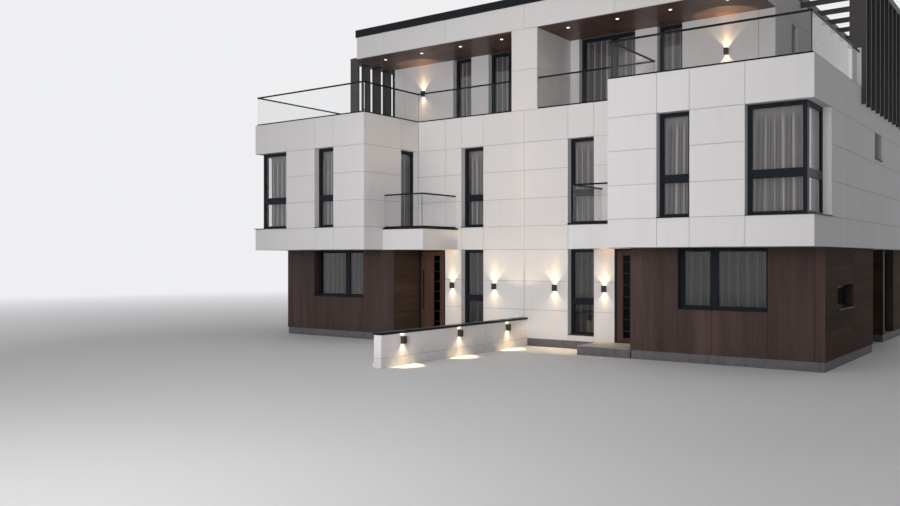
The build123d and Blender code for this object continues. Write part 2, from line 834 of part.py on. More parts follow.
with BuildPart() as door_right:
    block((leaf_left, leaf_right), (leaf_front, leaf_back), (leaf_low, leaf_high))
    block((door_glass_left, door_glass_right), (leaf_front, leaf_back),
          (leaf_low + door_glass_margin, leaf_high - door_glass_margin), Mode.SUBTRACT)
save(door_right, "door_right")

with BuildPart() as door_left:
    add(door_right.part)
    mirror(about=Plane.YZ, mode=Mode.REPLACE)
save(door_left, "door_left")

with BuildPart() as door_glass_right_pane:
    glass_front = leaf_front + (leaf_thickness - door_glass_thickness) / 2
    block((door_glass_left, door_glass_right), (glass_front, glass_front + door_glass_thickness),
          (leaf_low + door_glass_margin, leaf_high - door_glass_margin))
save(door_glass_right_pane, "door_glass_right")

with BuildPart() as door_glass_left_pane:
    add(door_glass_right_pane.part)
    mirror(about=Plane.YZ, mode=Mode.REPLACE)
save(door_glass_left_pane, "door_glass_left")

with BuildPart() as door_handle_right:
    bar_x = leaf_right - handle_edge
    bar_half = handle_bar / 2
    bar_foot = ground_level + handle_foot_rise
    bar_ends = (bar_foot, bar_foot + handle_length)
    block((bar_x - bar_half, bar_x + bar_half),
          (leaf_front - handle_stand_off, leaf_front - handle_stand_off + handle_bar), bar_ends)
    for level in (bar_ends[0] + handle_post_inset, bar_ends[1] - handle_post_inset):
        block((bar_x - bar_half, bar_x + bar_half), (leaf_front - handle_stand_off, leaf_front),
              (level - bar_half, level + bar_half))
    plate_half = lever_plate_width / 2
    lever_half = lever_plate_height / 2
    block((bar_x - plate_half, bar_x + plate_half),
          (leaf_back, leaf_back + lever_plate_thickness),
          (lever_level - lever_half, lever_level + lever_half))
    block((bar_x - bar_half / 2, bar_x + bar_half / 2), (leaf_back, leaf_back + lever_reach),
          (lever_level - bar_half / 2, lever_level + bar_half / 2))
    block((bar_x - lever_length, bar_x + bar_half / 2),
          (leaf_back + lever_reach - bar_half, leaf_back + lever_reach),
          (lever_level - bar_half / 2, lever_level + bar_half / 2))
save(door_handle_right, "door_handle_right")

with BuildPart() as door_handle_left:
    add(door_handle_right.part)
    mirror(about=Plane.YZ, mode=Mode.REPLACE)
save(door_handle_left, "door_handle_left")


def add_lamp(face, across, level):
    """A wall lamp that is a short box open upwards and downwards, with its lamps sunk in it."""
    left, right = across - lamp_width / 2, across + lamp_width / 2
    low, high = level - lamp_height / 2, level + lamp_height / 2
    on_face(face, left, right, low, high, -lamp_depth, lamp_depth)
    for pocket_low in (low, high - lamp_pocket):
        on_face(face, left + lamp_wall, right - lamp_wall, pocket_low, pocket_low + lamp_pocket,
                lamp_wall - lamp_depth, lamp_depth - 2 * lamp_wall, Mode.SUBTRACT)


# Lamps on the white walls, on the garden wall and in the loggia soffit
garden_face = Plane((garden_half, 0, 0), x_dir=(0, 1, 0), z_dir=(1, 0, 0))
with BuildPart() as wall_lamps:
    for lamp_x in (lamp_inner_x, doorway_x - lamp_door_offset):
        add_lamp(main_face, lamp_x, plinth_height + lamp_ground_rise)
    add_lamp(loggia_face, lamp_top_x, terrace_level + lamp_top_rise)
    for count in range(lamp_garden_count):
        add_lamp(garden_face, -lamp_garden_first - count * lamp_garden_pitch,
                 garden_height - lamp_garden_drop)
    mirror(about=Plane.YZ)
save(wall_lamps, "wall_lamps")

with BuildPart() as downlights:
    light_level = roof_base - loggia_board - downlight_depth / 2
    for count in range(downlight_count):
        with Locations((downlight_first_x + count * downlight_pitch, downlight_y, light_level)):
            Cylinder(downlight_radius, downlight_depth)
    mirror(about=Plane.YZ)
save(downlights, "downlights")

# Garden wall between the two front yards
with BuildPart() as garden_wall:
    with BuildSketch(Plane.YZ.offset(-garden_half)):
        with BuildLine():
            Polyline((-garden_length, 0), (plinth_inset, 0), (plinth_inset, plinth_height),
                     (0, plinth_height), (0, garden_height - garden_cap),
                     (-garden_length, garden_height - garden_cap), close=True)
        make_face()
    extrude(amount=2 * garden_half)
save(garden_wall, "garden_wall")

with BuildPart() as garden_wall_cap:
    cap_reach = garden_half + garden_cap_proud
    block((-cap_reach, cap_reach), (-garden_length - garden_cap_proud, 0),
          (garden_height - garden_cap, garden_height))
save(garden_wall_cap, "garden_wall_cap")
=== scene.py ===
import json
import math

import bmesh
import bpy
import numpy as np
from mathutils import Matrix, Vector


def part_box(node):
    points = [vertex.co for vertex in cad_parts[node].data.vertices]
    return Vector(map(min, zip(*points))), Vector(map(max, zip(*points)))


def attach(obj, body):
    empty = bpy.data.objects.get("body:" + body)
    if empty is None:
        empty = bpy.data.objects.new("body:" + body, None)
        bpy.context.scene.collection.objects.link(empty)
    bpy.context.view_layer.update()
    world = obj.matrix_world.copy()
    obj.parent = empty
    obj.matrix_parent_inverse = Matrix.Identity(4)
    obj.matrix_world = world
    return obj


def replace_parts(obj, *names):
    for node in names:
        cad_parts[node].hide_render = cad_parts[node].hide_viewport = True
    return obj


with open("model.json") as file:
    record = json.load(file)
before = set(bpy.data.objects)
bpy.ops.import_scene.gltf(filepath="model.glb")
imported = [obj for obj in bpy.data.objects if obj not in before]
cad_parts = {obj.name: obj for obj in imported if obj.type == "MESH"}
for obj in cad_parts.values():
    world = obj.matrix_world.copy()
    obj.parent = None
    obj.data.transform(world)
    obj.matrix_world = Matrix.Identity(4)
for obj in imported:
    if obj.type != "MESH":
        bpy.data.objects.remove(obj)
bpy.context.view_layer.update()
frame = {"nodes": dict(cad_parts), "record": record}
nodes = frame["nodes"]
print("villa: frame loaded,", len(nodes), "nodes")

# Levels and places of the building in metres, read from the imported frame
(_, mainPlane, _), (mainHalf, _, _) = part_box("front_wall_first")
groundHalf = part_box("front_wall_ground")[1][0]
(_, boxPlane, storeyBase), (halfWidth, _, parapetTop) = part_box("box_front_walls")
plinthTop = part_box("foundation")[1][2]
(_, upperStart, _), (_, _, rearParapet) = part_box("upper_side_walls")
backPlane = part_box("back_wall_first")[1][1]
(_, timberPlane, _), (timberSide, _, _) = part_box("timber_fronts")
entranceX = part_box("porch_slabs")[1][0]
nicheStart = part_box("timber_sides")[1][1]
nicheX, nicheEnd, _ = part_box("niche_walls")[1]
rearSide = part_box("rear_side_walls")[1][0]
(_, loggiaPlane, terraceLevel), (topHalf, _, roofBase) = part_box("top_front_wall")
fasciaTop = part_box("roof_fascia")[1][2]
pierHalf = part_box("loggia_pier")[1][0]
(_, gardenEnd, _), (gardenHalf, _, gardenTop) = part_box("garden_wall")
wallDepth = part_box("box_inner_walls")[1][0] - mainHalf


# Helpers for shader nodes

def setInputs(tree, node, inputs):
    # a socket is linked, a plain value is set
    for key, value in inputs.items():
        if isinstance(value, bpy.types.NodeSocket):
            tree.links.new(value, node.inputs[key])
        else:
            node.inputs[key].default_value = value


def addNode(tree, kind, inputs=None, **settings):
    node = tree.nodes.new("ShaderNode" + kind)
    for key, value in settings.items():
        setattr(node, key, value)
    setInputs(tree, node, inputs or {})
    return node


def mathNode(tree, operation, *values, clamp=False):
    return addNode(tree, "Math", dict(enumerate(values)), operation=operation,
                   use_clamp=clamp).outputs[0]


def rangeNode(tree, value, span, results):
    # the span's two ends become the two results
    return addNode(tree, "MapRange", dict(enumerate((value, *span, *results)))).outputs[0]


def mixColour(tree, factor, first, second):
    # 6, 7 and 2 are the node's sockets for colours
    return addNode(tree, "Mix", {0: factor, 6: first, 7: second}, data_type="RGBA").outputs[2]


def scaled(tree, colour, factor):
    return addNode(tree, "VectorMath", {0: colour, 3: factor}, operation="SCALE").outputs[0]


def stretched(tree, vector, scale):
    return addNode(tree, "Mapping", {"Vector": vector, "Scale": scale}).outputs[0]


def noise(tree, vector, size, detail, **more):
    inputs = {"Vector": vector, "Scale": size, "Detail": detail, **more}
    return addNode(tree, "TexNoise", inputs).outputs[0]


def toneOf(tree):
    return addNode(tree, "Attribute", attribute_name="tone").outputs["Fac"]


def addBump(tree, shader, height, strength, depth):
    bump = addNode(tree, "Bump", {"Height": height, "Strength": strength, "Distance": depth})
    setInputs(tree, shader, {"Normal": bump.outputs[0]})


def newGroup(name, ins, outs):
    group = bpy.data.node_groups.new(name, "ShaderNodeTree")
    for label, kind, value in ins:
        socket = group.interface.new_socket(name=label, in_out="INPUT",
                                            socket_type="NodeSocket" + kind)
        if value is not None:
            socket.default_value = value
    for label, kind in outs:
        group.interface.new_socket(name=label, in_out="OUTPUT", socket_type="NodeSocket" + kind)
    start = group.nodes.new("NodeGroupInput")
    return group, start.outputs, group.nodes.new("NodeGroupOutput")


noiseSpan = (0.3, 0.7)  # where most values of a noise lie
splashSpan = (0.0, 0.6)
whole = (0.0, 1.0)

# Weather: large soft clouds of tone, thin streaks that run down, and splash near the ground
weatherLook = {"streakStretch": (1.0, 1.0, 0.06), "streakSpan": (0.52, 0.78)}
weather, weatherIn, weatherOut = newGroup(
    "weather", [("Vector", "Vector", None), ("Cloud Size", "Float", 0.6),
                ("Splash Height", "Float", 0.5)],
    [("Cloud", "Float"), ("Streak", "Float"), ("Splash", "Float")])
streak = noise(weather, stretched(weather, weatherIn[0], weatherLook["streakStretch"]),
               size=7.0, detail=5.0)
height = addNode(weather, "SeparateXYZ", {0: weatherIn[0]}).outputs[2]
low = mathNode(weather, "SUBTRACT", 1.0, mathNode(weather, "DIVIDE", height, weatherIn[2]),
               clamp=True)
patch = noise(weather, weatherIn[0], size=9.0, detail=6.0)
setInputs(weather, weatherOut, {
    0: noise(weather, weatherIn[0], weatherIn[1], detail=4.0),
    1: rangeNode(weather, streak, weatherLook["streakSpan"], whole),
    2: mathNode(weather, "MULTIPLY", low, patch)})

# Fine grain: small noise for roughness and bump
grain, grainIn, grainOut = newGroup(
    "fineGrain", [("Vector", "Vector", None), ("Size", "Float", 120.0)], [("Height", "Float")])
setInputs(grain, grainOut, {0: noise(grain, grainIn[0], grainIn[1], detail=3.0)})

# Wood figure: noise drawn out along the board, with dark pores; each board's tone moves the
# figure and makes the board lighter or darker
woodLook = {
    "move": (41.0, 17.0),
    "broad": {"size": 2.2, "detail": 5.0, "Distortion": 0.6},
    "pores": {"size": 14.0, "detail": 7.0, "Roughness": 0.7},
    "broadShare": 0.7,
    "poreShare": 0.5,
    "span": (0.42, 0.80),
    "boardTones": (0.84, 1.14),
    "roughness": (0.42, 0.62),
}
wood, woodIn, woodOut = newGroup(
    "woodFigure", [("Vector", "Vector", None), ("Tone", "Float", 0.5),
                   ("Dark", "Color", (0.05, 0.03, 0.025, 1)),
                   ("Light", "Color", (0.15, 0.09, 0.07, 1))],
    [("Color", "Color"), ("Height", "Float"), ("Shine", "Float")])
shift = addNode(wood, "CombineXYZ", {axis: mathNode(wood, "MULTIPLY", woodIn[1], reach)
                                     for axis, reach in enumerate(woodLook["move"])})
moved = addNode(wood, "VectorMath", {0: woodIn[0], 1: shift.outputs[0]},
                operation="ADD").outputs[0]
pores = noise(wood, moved, **woodLook["pores"])
broad = mathNode(wood, "MULTIPLY", noise(wood, moved, **woodLook["broad"]),
                 woodLook["broadShare"])
both = mathNode(wood, "ADD", broad, mathNode(wood, "MULTIPLY", pores, woodLook["poreShare"]))
figure = rangeNode(wood, both, woodLook["span"], whole)
setInputs(wood, woodOut, {
    0: scaled(wood, mixColour(wood, figure, woodIn[2], woodIn[3]),
              rangeNode(wood, woodIn[1], whole, woodLook["boardTones"])),
    1: pores,
    2: rangeNode(wood, pores, noiseSpan, woodLook["roughness"])})


def newMaterial(name):
    material = bpy.data.materials.new(name)
    material.use_nodes = True
    tree = material.node_tree
    place = addNode(tree, "TexCoord").outputs["Object"]
    return material, tree, tree.nodes["Principled BSDF"], place


def weatherOn(tree, place, cloudSize):
    return addNode(tree, "Group", {"Vector": place, "Cloud Size": cloudSize},
                   node_tree=weather).outputs


def grainOn(tree, place, size):
    return addNode(tree, "Group", {"Vector": place, "Size": size}, node_tree=grain).outputs[0]


# Matt mineral or board face: colour, broken by clouds, streaks, splash and fine grain
mineralLook = {"cloudSize": 0.7, "cloudShare": 0.75, "panelShare": 0.55, "specular": 0.3,
               "bumpDepth": 0.0015}


def mineralFinish(name, colour, tone=0.06, rough=(0.55, 0.7), grainSize=140.0, bump=0.12,
                  streaks=0.10, splash=0.25):
    material, tree, shader, place = newMaterial(name)
    marks = weatherOn(tree, place, mineralLook["cloudSize"])
    small = grainOn(tree, place, grainSize)
    shade = mathNode(tree, "MULTIPLY_ADD", marks["Cloud"], tone,
                     1.0 - tone * mineralLook["cloudShare"])
    panelShade = rangeNode(tree, toneOf(tree), whole,
                           (1.0, 1.0 - tone * mineralLook["panelShare"]))
    run = rangeNode(tree, marks["Streak"], whole, (1.0, 1.0 - streaks))
    wet = rangeNode(tree, marks["Splash"], splashSpan, (1.0, 1.0 - splash))
    total = mathNode(tree, "MULTIPLY", mathNode(tree, "MULTIPLY", shade, panelShade),
                     mathNode(tree, "MULTIPLY", run, wet))
    setInputs(tree, shader, {"Base Color": scaled(tree, colour, total),
                             "Roughness": rangeNode(tree, small, noiseSpan, rough),
                             "Specular IOR Level": mineralLook["specular"]})
    addBump(tree, shader, small, bump, mineralLook["bumpDepth"])
    return material


# Boards whose figure is drawn out along the axis that stretch makes small
boardLook = {"cloudSize": 0.8, "splashTones": (1.0, 0.8), "coatRoughness": 0.25,
             "bumpDepth": 0.002}


def woodFinish(name, dark, light, stretch, rough=0.0, bump=0.2, coat=0.0, specular=0.2):
    material, tree, shader, place = newMaterial(name)
    boards = addNode(tree, "Group", {"Vector": stretched(tree, place, stretch),
                                     "Tone": toneOf(tree), "Dark": (*dark, 1),
                                     "Light": (*light, 1)}, node_tree=wood).outputs
    marks = weatherOn(tree, place, boardLook["cloudSize"])
    worn = rangeNode(tree, marks["Splash"], splashSpan, boardLook["splashTones"])
    setInputs(tree, shader, {"Base Color": scaled(tree, boards["Color"], worn),
                             "Roughness": mathNode(tree, "ADD", boards["Shine"], rough),
                             "Specular IOR Level": specular})
    addBump(tree, shader, boards["Height"], bump, boardLook["bumpDepth"])
    if coat:
        setInputs(tree, shader, {"Coat Weight": coat,
                                 "Coat Roughness": boardLook["coatRoughness"]})
    return material


# Powder coat or bare metal: a fine orange peel, with a little dust where it lies flat
metalLook = {"cloudSize": 2.0, "dust": (0.30, 0.29, 0.28, 1), "dustSpan": (0.4, 1.0),
             "dustShare": (0.0, 0.3), "bareSpecular": 0.5, "paintSpecular": 0.12,
             "bump": (0.05, 0.0006)}


def metalFinish(name, colour, rough=(0.32, 0.48), metallic=0.0, grainSize=320.0):
    material, tree, shader, place = newMaterial(name)
    small = grainOn(tree, place, grainSize)
    normal = addNode(tree, "NewGeometry").outputs["Normal"]
    facing = addNode(tree, "SeparateXYZ", {0: normal}).outputs[2]
    dust = mathNode(tree, "MULTIPLY",
                    rangeNode(tree, facing, metalLook["dustSpan"], metalLook["dustShare"]),
                    weatherOn(tree, place, metalLook["cloudSize"])["Cloud"])
    specular = metalLook["bareSpecular"] if metallic else metalLook["paintSpecular"]
    setInputs(tree, shader, {"Base Color": mixColour(tree, dust, (*colour, 1), metalLook["dust"]),
                             "Roughness": rangeNode(tree, small, noiseSpan, rough),
                             "Metallic": metallic, "Specular IOR Level": specular})
    addBump(tree, shader, small, *metalLook["bump"])
    return material


# Clear float glass with faint smears, which tint it and roughen it a little; lamps shine
# through it, but for the stopped share
glassLook = {"smearTint": 0.96, "smearSpan": (0.4, 0.7), "smearRoughness": 0.012}


def glassFinish(name, colour, rough=0.0, ior=1.45, stopped=0.2):
    material, tree, shader, place = newMaterial(name)
    smear = noise(tree, place, size=5.0, detail=3.0)
    smeared = (*(c * glassLook["smearTint"] for c in colour), 1)
    shadow = addNode(tree, "LightPath").outputs["Is Shadow Ray"]
    setInputs(tree, shader, {
        "Base Color": mixColour(tree, smear, (*colour, 1), smeared),
        "Roughness": rangeNode(tree, smear, glassLook["smearSpan"],
                               (rough, rough + glassLook["smearRoughness"])),
        "Transmission Weight": 1.0, "IOR": ior,
        "Alpha": rangeNode(tree, shadow, whole, (1.0, stopped))})
    return material


# Lit lens with facets that glow in slightly different tones
lensLook = {"facetSize": 160.0, "facetSpan": (0.0, 0.7), "facetShare": (0.0, 0.35),
            "warm": (1.0, 0.78, 0.5, 1), "body": (0.9, 0.88, 0.84, 1), "roughness": 0.25,
            "bump": (0.3, 0.001)}


def glowFinish(name, colour, strength):
    material, tree, shader, place = newMaterial(name)
    facets = addNode(tree, "TexVoronoi", {"Vector": place,
                                          "Scale": lensLook["facetSize"]}).outputs[0]
    share = rangeNode(tree, facets, lensLook["facetSpan"], lensLook["facetShare"])
    setInputs(tree, shader, {
        "Emission Color": mixColour(tree, share, (*colour, 1), lensLook["warm"]),
        "Emission Strength": strength, "Base Color": lensLook["body"],
        "Roughness": lensLook["roughness"]})
    addBump(tree, shader, facets, *lensLook["bump"])
    return material


# Sheer cloth: threads both ways on the piece's own UV map; its tone goes from the hollow colour,
# which is painted shade, to the ridge colour, which is painted light on the folds
clothLook = {"threads": {"Scale": 260.0, "Distortion": 0.6, "Detail": 2.0},
             "slubStretch": (9.0, 9.0, 1.0), "toneSpan": (0.3, 1.5), "tones": (0.86, 1.06),
             "bump": (0.2, 0.0004),
             "shader": {"Roughness": 0.9, "Sheen Weight": 0.25, "Sheen Roughness": 0.5}}


def clothFinish(name, shadedHollow, ridge):
    material, tree, shader, place = newMaterial(name)
    uv = addNode(tree, "UVMap").outputs[0]
    weft, warp = (addNode(tree, "TexWave", {"Vector": uv, **clothLook["threads"]},
                          bands_direction=way).outputs[1] for way in "XY")
    weave = mathNode(tree, "MULTIPLY", weft, warp)
    slub = noise(tree, stretched(tree, place, clothLook["slubStretch"]), size=3.0, detail=4.0)
    tone = rangeNode(tree, mathNode(tree, "ADD", weave, slub), clothLook["toneSpan"],
                     clothLook["tones"])
    # painted light and shade: the dark hollow colour where tone is low, the light ridge colour
    # where it is high
    colour = mixColour(tree, toneOf(tree), (*shadedHollow, 1), (*ridge, 1))
    setInputs(tree, shader, {"Base Color": scaled(tree, colour, tone), **clothLook["shader"]})
    addBump(tree, shader, weave, *clothLook["bump"])
    return material


# Welded roof sheets: a raised lap at each pitch across the roof, and soft clouds of dust
roofLook = {"pitch": 1.05, "lapSpan": (0.0, 0.04), "cloudSize": 0.8, "grainSize": 90.0,
            "cloudTones": (0.85, 1.1), "lapColour": (0.16, 0.16, 0.17, 1),
            "lapShare": 0.35, "grainShare": 0.3, "roughness": 0.8, "bump": (0.5, 0.004)}


def roofFinish(name, colour):
    material, tree, shader, place = newMaterial(name)
    across = addNode(tree, "SeparateXYZ", {0: place}).outputs[0]
    inSheet = mathNode(tree, "PINGPONG", across, roofLook["pitch"] / 2)
    lap = rangeNode(tree, inSheet, roofLook["lapSpan"], (1.0, 0.0))
    tone = rangeNode(tree, weatherOn(tree, place, roofLook["cloudSize"])["Cloud"],
                     noiseSpan, roofLook["cloudTones"])
    joined = mixColour(tree, mathNode(tree, "MULTIPLY", lap, roofLook["lapShare"]),
                       scaled(tree, colour, tone), roofLook["lapColour"])
    setInputs(tree, shader, {"Base Color": joined, "Roughness": roofLook["roughness"]})
    small = mathNode(tree, "MULTIPLY", grainOn(tree, place, roofLook["grainSize"]),
                     roofLook["grainShare"])
    addBump(tree, shader, mathNode(tree, "ADD", lap, small), *roofLook["bump"])
    return material


upright = (1.0, 1.0, 0.06)
levelAlong = (0.06, 0.06, 1.0)
finishes = {
    "white_panel": mineralFinish("whitePanel", (0.66, 0.645, 0.655), tone=0.05, streaks=0.03),
    "white_board": mineralFinish("whiteBoard", (0.64, 0.625, 0.61), tone=0.04, streaks=0.0,
                                 splash=0.0),
    "grey_plinth": mineralFinish("greyPlinth", (0.150, 0.142, 0.152), tone=0.35, streaks=0.35,
                                 splash=0.3, bump=0.4),
    "concrete": mineralFinish("concreteFloor", (0.36, 0.35, 0.34), tone=0.2, bump=0.3,
                              streaks=0.0, splash=0.0),
    "floor_finish": woodFinish("roomFloor", (0.16, 0.11, 0.075), (0.34, 0.25, 0.18),
                               (1.0, 0.08, 1.0)),
    "timber_panel": woodFinish("timberUpright", (0.033, 0.0225, 0.0205), (0.082, 0.053, 0.047),
                               upright),
    "soffit_timber": woodFinish("soffitBoards", (0.060, 0.033, 0.027), (0.140, 0.076, 0.060),
                                (0.08, 1.0, 1.0), coat=0.25),
    "door_timber": woodFinish("doorTimber", (0.05, 0.027, 0.022), (0.12, 0.066, 0.050),
                              upright, coat=0.1),
    "roof_membrane": roofFinish("roofMembrane", (0.30, 0.30, 0.31)),
    "black_cap": metalFinish("blackCap", (0.010, 0.011, 0.014)),
    "black_sill": metalFinish("blackSill", (0.008, 0.009, 0.011)),
    "dark_frame": metalFinish("darkFrame", (0.010, 0.013, 0.018)),
    "dark_rail": metalFinish("darkRail", (0.010, 0.010, 0.012)),
    "grey_fin": metalFinish("greyFin", (0.075, 0.070, 0.068), rough=(0.4, 0.55)),
    "hinge_steel": metalFinish("hingeSteel", (0.45, 0.45, 0.45), metallic=1.0),
    "black_handle": metalFinish("blackHandle", (0.02, 0.02, 0.02), rough=(0.25, 0.35)),
    "lamp_housing": metalFinish("lampHousing", (0.055, 0.045, 0.04)),
    "window_glass": glassFinish("windowGlass", (0.90, 0.885, 0.885), stopped=0.5),
    "guard_glass": glassFinish("guardGlass", (0.96, 0.965, 0.96), ior=1.2, stopped=0.1),
    "door_glass": glassFinish("doorGlass", (0.05, 0.048, 0.045), rough=0.2, ior=1.2,
                              stopped=0.95),
    # the first colour is painted shade for the fold hollows, the second painted light for the
    # ridges
    "curtain_cloth": clothFinish("curtainCloth", (0.17, 0.16, 0.165), (0.84, 0.82, 0.83)),
    "downlight_lens": glowFinish("downlightLens", (1.0, 0.93, 0.82), 2.0),
}
timberLevel = woodFinish("timberLevel", (0.036, 0.0240, 0.0180), (0.075, 0.050, 0.0375),
                         levelAlong, rough=0.2, bump=0.08, specular=0.03)
jointShade = mineralFinish("jointShade", (0.17, 0.165, 0.168), tone=0.1)
jointTimber = mineralFinish("jointTimber", (0.012, 0.009, 0.008), tone=0.1)
# the first colour is painted shade for the fold hollows, the second painted light for the ridges
groundCloth = clothFinish("groundCloth", (0.020, 0.019, 0.016), (0.13, 0.125, 0.112))
lampGlow = glowFinish("lampGlow", (1.0, 0.84, 0.60), 14.0)
terraceTile = mineralFinish("terraceTile", (0.34, 0.33, 0.32), tone=0.18, grainSize=60.0,
                            bump=0.3, streaks=0.0, splash=0.0)
for part in frame["record"]["subparts"]:
    partMaterials = nodes[part["node"]].data.materials
    partMaterials.clear()
    partMaterials.append(finishes[part["material_slot"]])
print("villa: finishes ready,", len(bpy.data.materials), "materials")


# Helpers for objects and meshes

def addObject(name, data):
    added = bpy.data.objects.new(name, data)
    bpy.context.scene.collection.objects.link(added)
    return added


def aimAt(thing, place, target):
    thing.location = place
    thing.rotation_mode = "QUATERNION"
    thing.rotation_quaternion = Vector(np.subtract(target, place)).to_track_quat("-Z", "Y")


def quadMesh(name, points, quads, slotName, finish=None, body="building", tone=None, uv=None,
             smooth=False):
    # the finish is the slot's own unless another is given
    mesh = bpy.data.meshes.new(name)
    mesh.vertices.add(len(points))
    mesh.vertices.foreach_set("co", np.ascontiguousarray(points, np.float32).ravel())
    mesh.loops.add(quads.size)
    mesh.loops.foreach_set("vertex_index", quads.astype(np.int32).ravel())
    mesh.polygons.add(len(quads))
    mesh.polygons.foreach_set("loop_start", np.arange(0, quads.size, 4, dtype=np.int32))
    mesh.polygons.foreach_set("use_smooth", np.full(len(quads), smooth))
    if tone is not None:
        layer = mesh.attributes.new("tone", "FLOAT", "POINT")
        layer.data.foreach_set("value", tone.astype(np.float32).ravel())
    if uv is not None:
        layer = mesh.uv_layers.new(name="UVMap")
        layer.data.foreach_set("uv", uv[quads.ravel()].astype(np.float32).ravel())
    mesh.update(calc_edges=True)
    mesh.validate()
    mesh.materials.append(finish or finishes[slotName])
    piece = addObject(name, mesh)
    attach(piece, body)
    return piece


def meshPoints(mesh):
    points = np.empty(len(mesh.vertices) * 3)
    mesh.vertices.foreach_get("co", points)
    return points.reshape(-1, 3)


def solidBoxes(nodeName):
    # lowest and highest corner of each separate solid: corners that share a triangle get the
    # lowest label of the three, over and over, until no label changes
    mesh = nodes[nodeName].data
    points = meshPoints(mesh)
    mesh.calc_loop_triangles()
    triangles = np.empty(len(mesh.loop_triangles) * 3, int)
    mesh.loop_triangles.foreach_get("vertices", triangles)
    _, same = np.unique(np.round(points, 5), axis=0, return_inverse=True)
    corners = same.ravel()[triangles].reshape(-1, 3)
    label = np.arange(corners.max() + 1)
    while True:
        lowest = label[corners].min(axis=1)
        fresh = label.copy()
        np.minimum.at(fresh, corners.ravel(), np.repeat(lowest, 3))
        fresh = fresh[fresh]
        if (fresh == label).all():
            break
        label = fresh
    owner = label[same.ravel()]
    return np.array([[points[owner == group].min(axis=0), points[owner == group].max(axis=0)]
                     for group in np.unique(owner)])


# Which of a rectangle's four corners lie at its right end, and which at its top
cornerRight = np.array([0, 1, 1, 0])
cornerTop = np.array([0, 0, 1, 1])


def facePoints(face, across, upward, depth):
    # a point on a face, a depth behind it: across and upward run in the face
    axis, plane, out = face
    across, upward, behind = np.broadcast_arrays(across, upward, plane - out * depth)
    order = {"x": (behind, across, upward), "y": (across, behind, upward),
             "z": (across, upward, behind)}[axis]
    return np.stack(order, axis=-1)


def lidPanels(cells, face, plate):
    # each panel is three rings of four corners: back, front edge, and front face inset by the
    # chamfer; the rings are joined by quads and closed at both ends
    cells = np.asarray(cells, float)
    chamfer = plate["chamfer"]
    inset = np.array([0.0, 0.0, chamfer])[None, :, None] + plate["joint"] / 2
    depth = np.array([plate["thickness"], chamfer, 0.0])[None, :, None]
    u0, u1, v0, v1 = (cells[:, k, None, None] for k in range(4))
    across = np.where(cornerRight, u1 - inset, u0 + inset)
    upward = np.where(cornerTop, v1 - inset, v0 + inset)
    points = facePoints(face, across, upward, depth + 0 * across)
    ring = np.arange(4)
    wall = np.stack([ring, (ring + 1) % 4, (ring + 1) % 4 + 4, ring + 4], axis=1)
    quads = np.vstack([wall, wall + 4, [[8, 9, 10, 11]], [[3, 2, 1, 0]]])
    if (face[0], face[2]) in (("y", 1), ("x", -1), ("z", -1)):
        quads = quads[:, ::-1]
    count = len(cells)
    allQuads = (quads[None] + 12 * np.arange(count)[:, None, None]).reshape(-1, 4)
    return points.reshape(-1, 3), allQuads, np.repeat(np.arange(count), 12)


def cutCells(acrossJoints, upwardJoints, openings=(), touch=0.001, narrowest=0.02):
    # the cells between neighbouring joints, with each opening taken out of those it crosses
    cells = [(a, b, c, d) for a, b in zip(acrossJoints, acrossJoints[1:])
             for c, d in zip(upwardJoints, upwardJoints[1:])]
    for left, right, low, high in openings:
        kept = []
        for a, b, c, d in cells:
            if right <= a + touch or left >= b - touch or high <= c + touch or low >= d - touch:
                kept.append((a, b, c, d))
                continue
            inLow, inHigh = max(c, low), min(d, high)
            pieces = [(a, b, c, low), (a, b, high, d), (a, left, inLow, inHigh),
                      (right, b, inLow, inHigh)]
            kept += [p for p in pieces if p[1] - p[0] > narrowest and p[3] - p[2] > narrowest]
        cells = kept
    return cells


def sideSpan(side, low, high):
    # a span in the right home, or its mirror image in the left one
    return (low, high) if side > 0 else (-high, -low)


def mirrored(values):
    return sorted({round(s * v, 4) for v in values for s in (-1, 1)})


# Cladding: panels on a dark core that is the wall itself, set back by the panel's thickness;
# the columns and levels are where its joints run

cladding = {
    "thickness": 0.014,
    "joint": 0.008,
    "chamfer": 0.001,
    "cornerLap": 0.016,
    "levelsGround": [1.013, 1.813],
    "levelsFirst": [3.35, 4.12, 4.915, 5.695],
    "groundColumns": mirrored([0.0, 1.385, 2.16]),
    "mainColumns": mirrored([0.0, 1.385, 2.16, 2.745]),
    "boxColumns": [4.975, 5.73, 6.94],
    "innerColumns": [-0.837],
    "sideColumns": [-1.035, 0.45, 2.015, 3.618, 4.563, 6.02, 7.48, 8.94],
    "backColumns": mirrored([0.0, 1.385, 2.16, 3.775, 4.975, 5.73, 6.94]),
    "topColumns": mirrored([0.72, 2.475, 3.14, 3.85, 5.9]),
    "topSideColumns": [3.45, 4.0, 5.53, 7.06, 8.59],
    "topLevels": [7.74],
    "pierColumns": [0.96],
    "fasciaColumns": mirrored([0.0, 2.745, 5.2]),
    "fasciaSideColumns": [2.08, 4.16, 6.24, 8.32],
    "gardenColumns": [-4.2, -2.1],
    "gardenLevels": [0.215],
}
timber = {
    "frontColumns": [4.965, 5.765, 7.035, 8.02],
    "sideColumns": [1.557],
    "sideLevels": [0.86, 1.278, 1.836, 2.27],
    "plainLevels": [0.84, 1.46, 2.08],
    "nicheColumns": [5.42],
    "entranceEnd": 0.02,
}
coats = {
    "white": ("white_panel", None, jointShade),
    "upright": ("timber_panel", None, jointTimber),
    "level": ("timber_panel", timberLevel, jointTimber),
}
frameSearch = {"behind": (0.1, 0.3), "thickest": 0.1, "slack": 0.01, "cornerGap": (0.15, 0.3)}
frameBoxes = solidBoxes("window_frames")
cores = {}  # each clad node's joint finish and clad faces


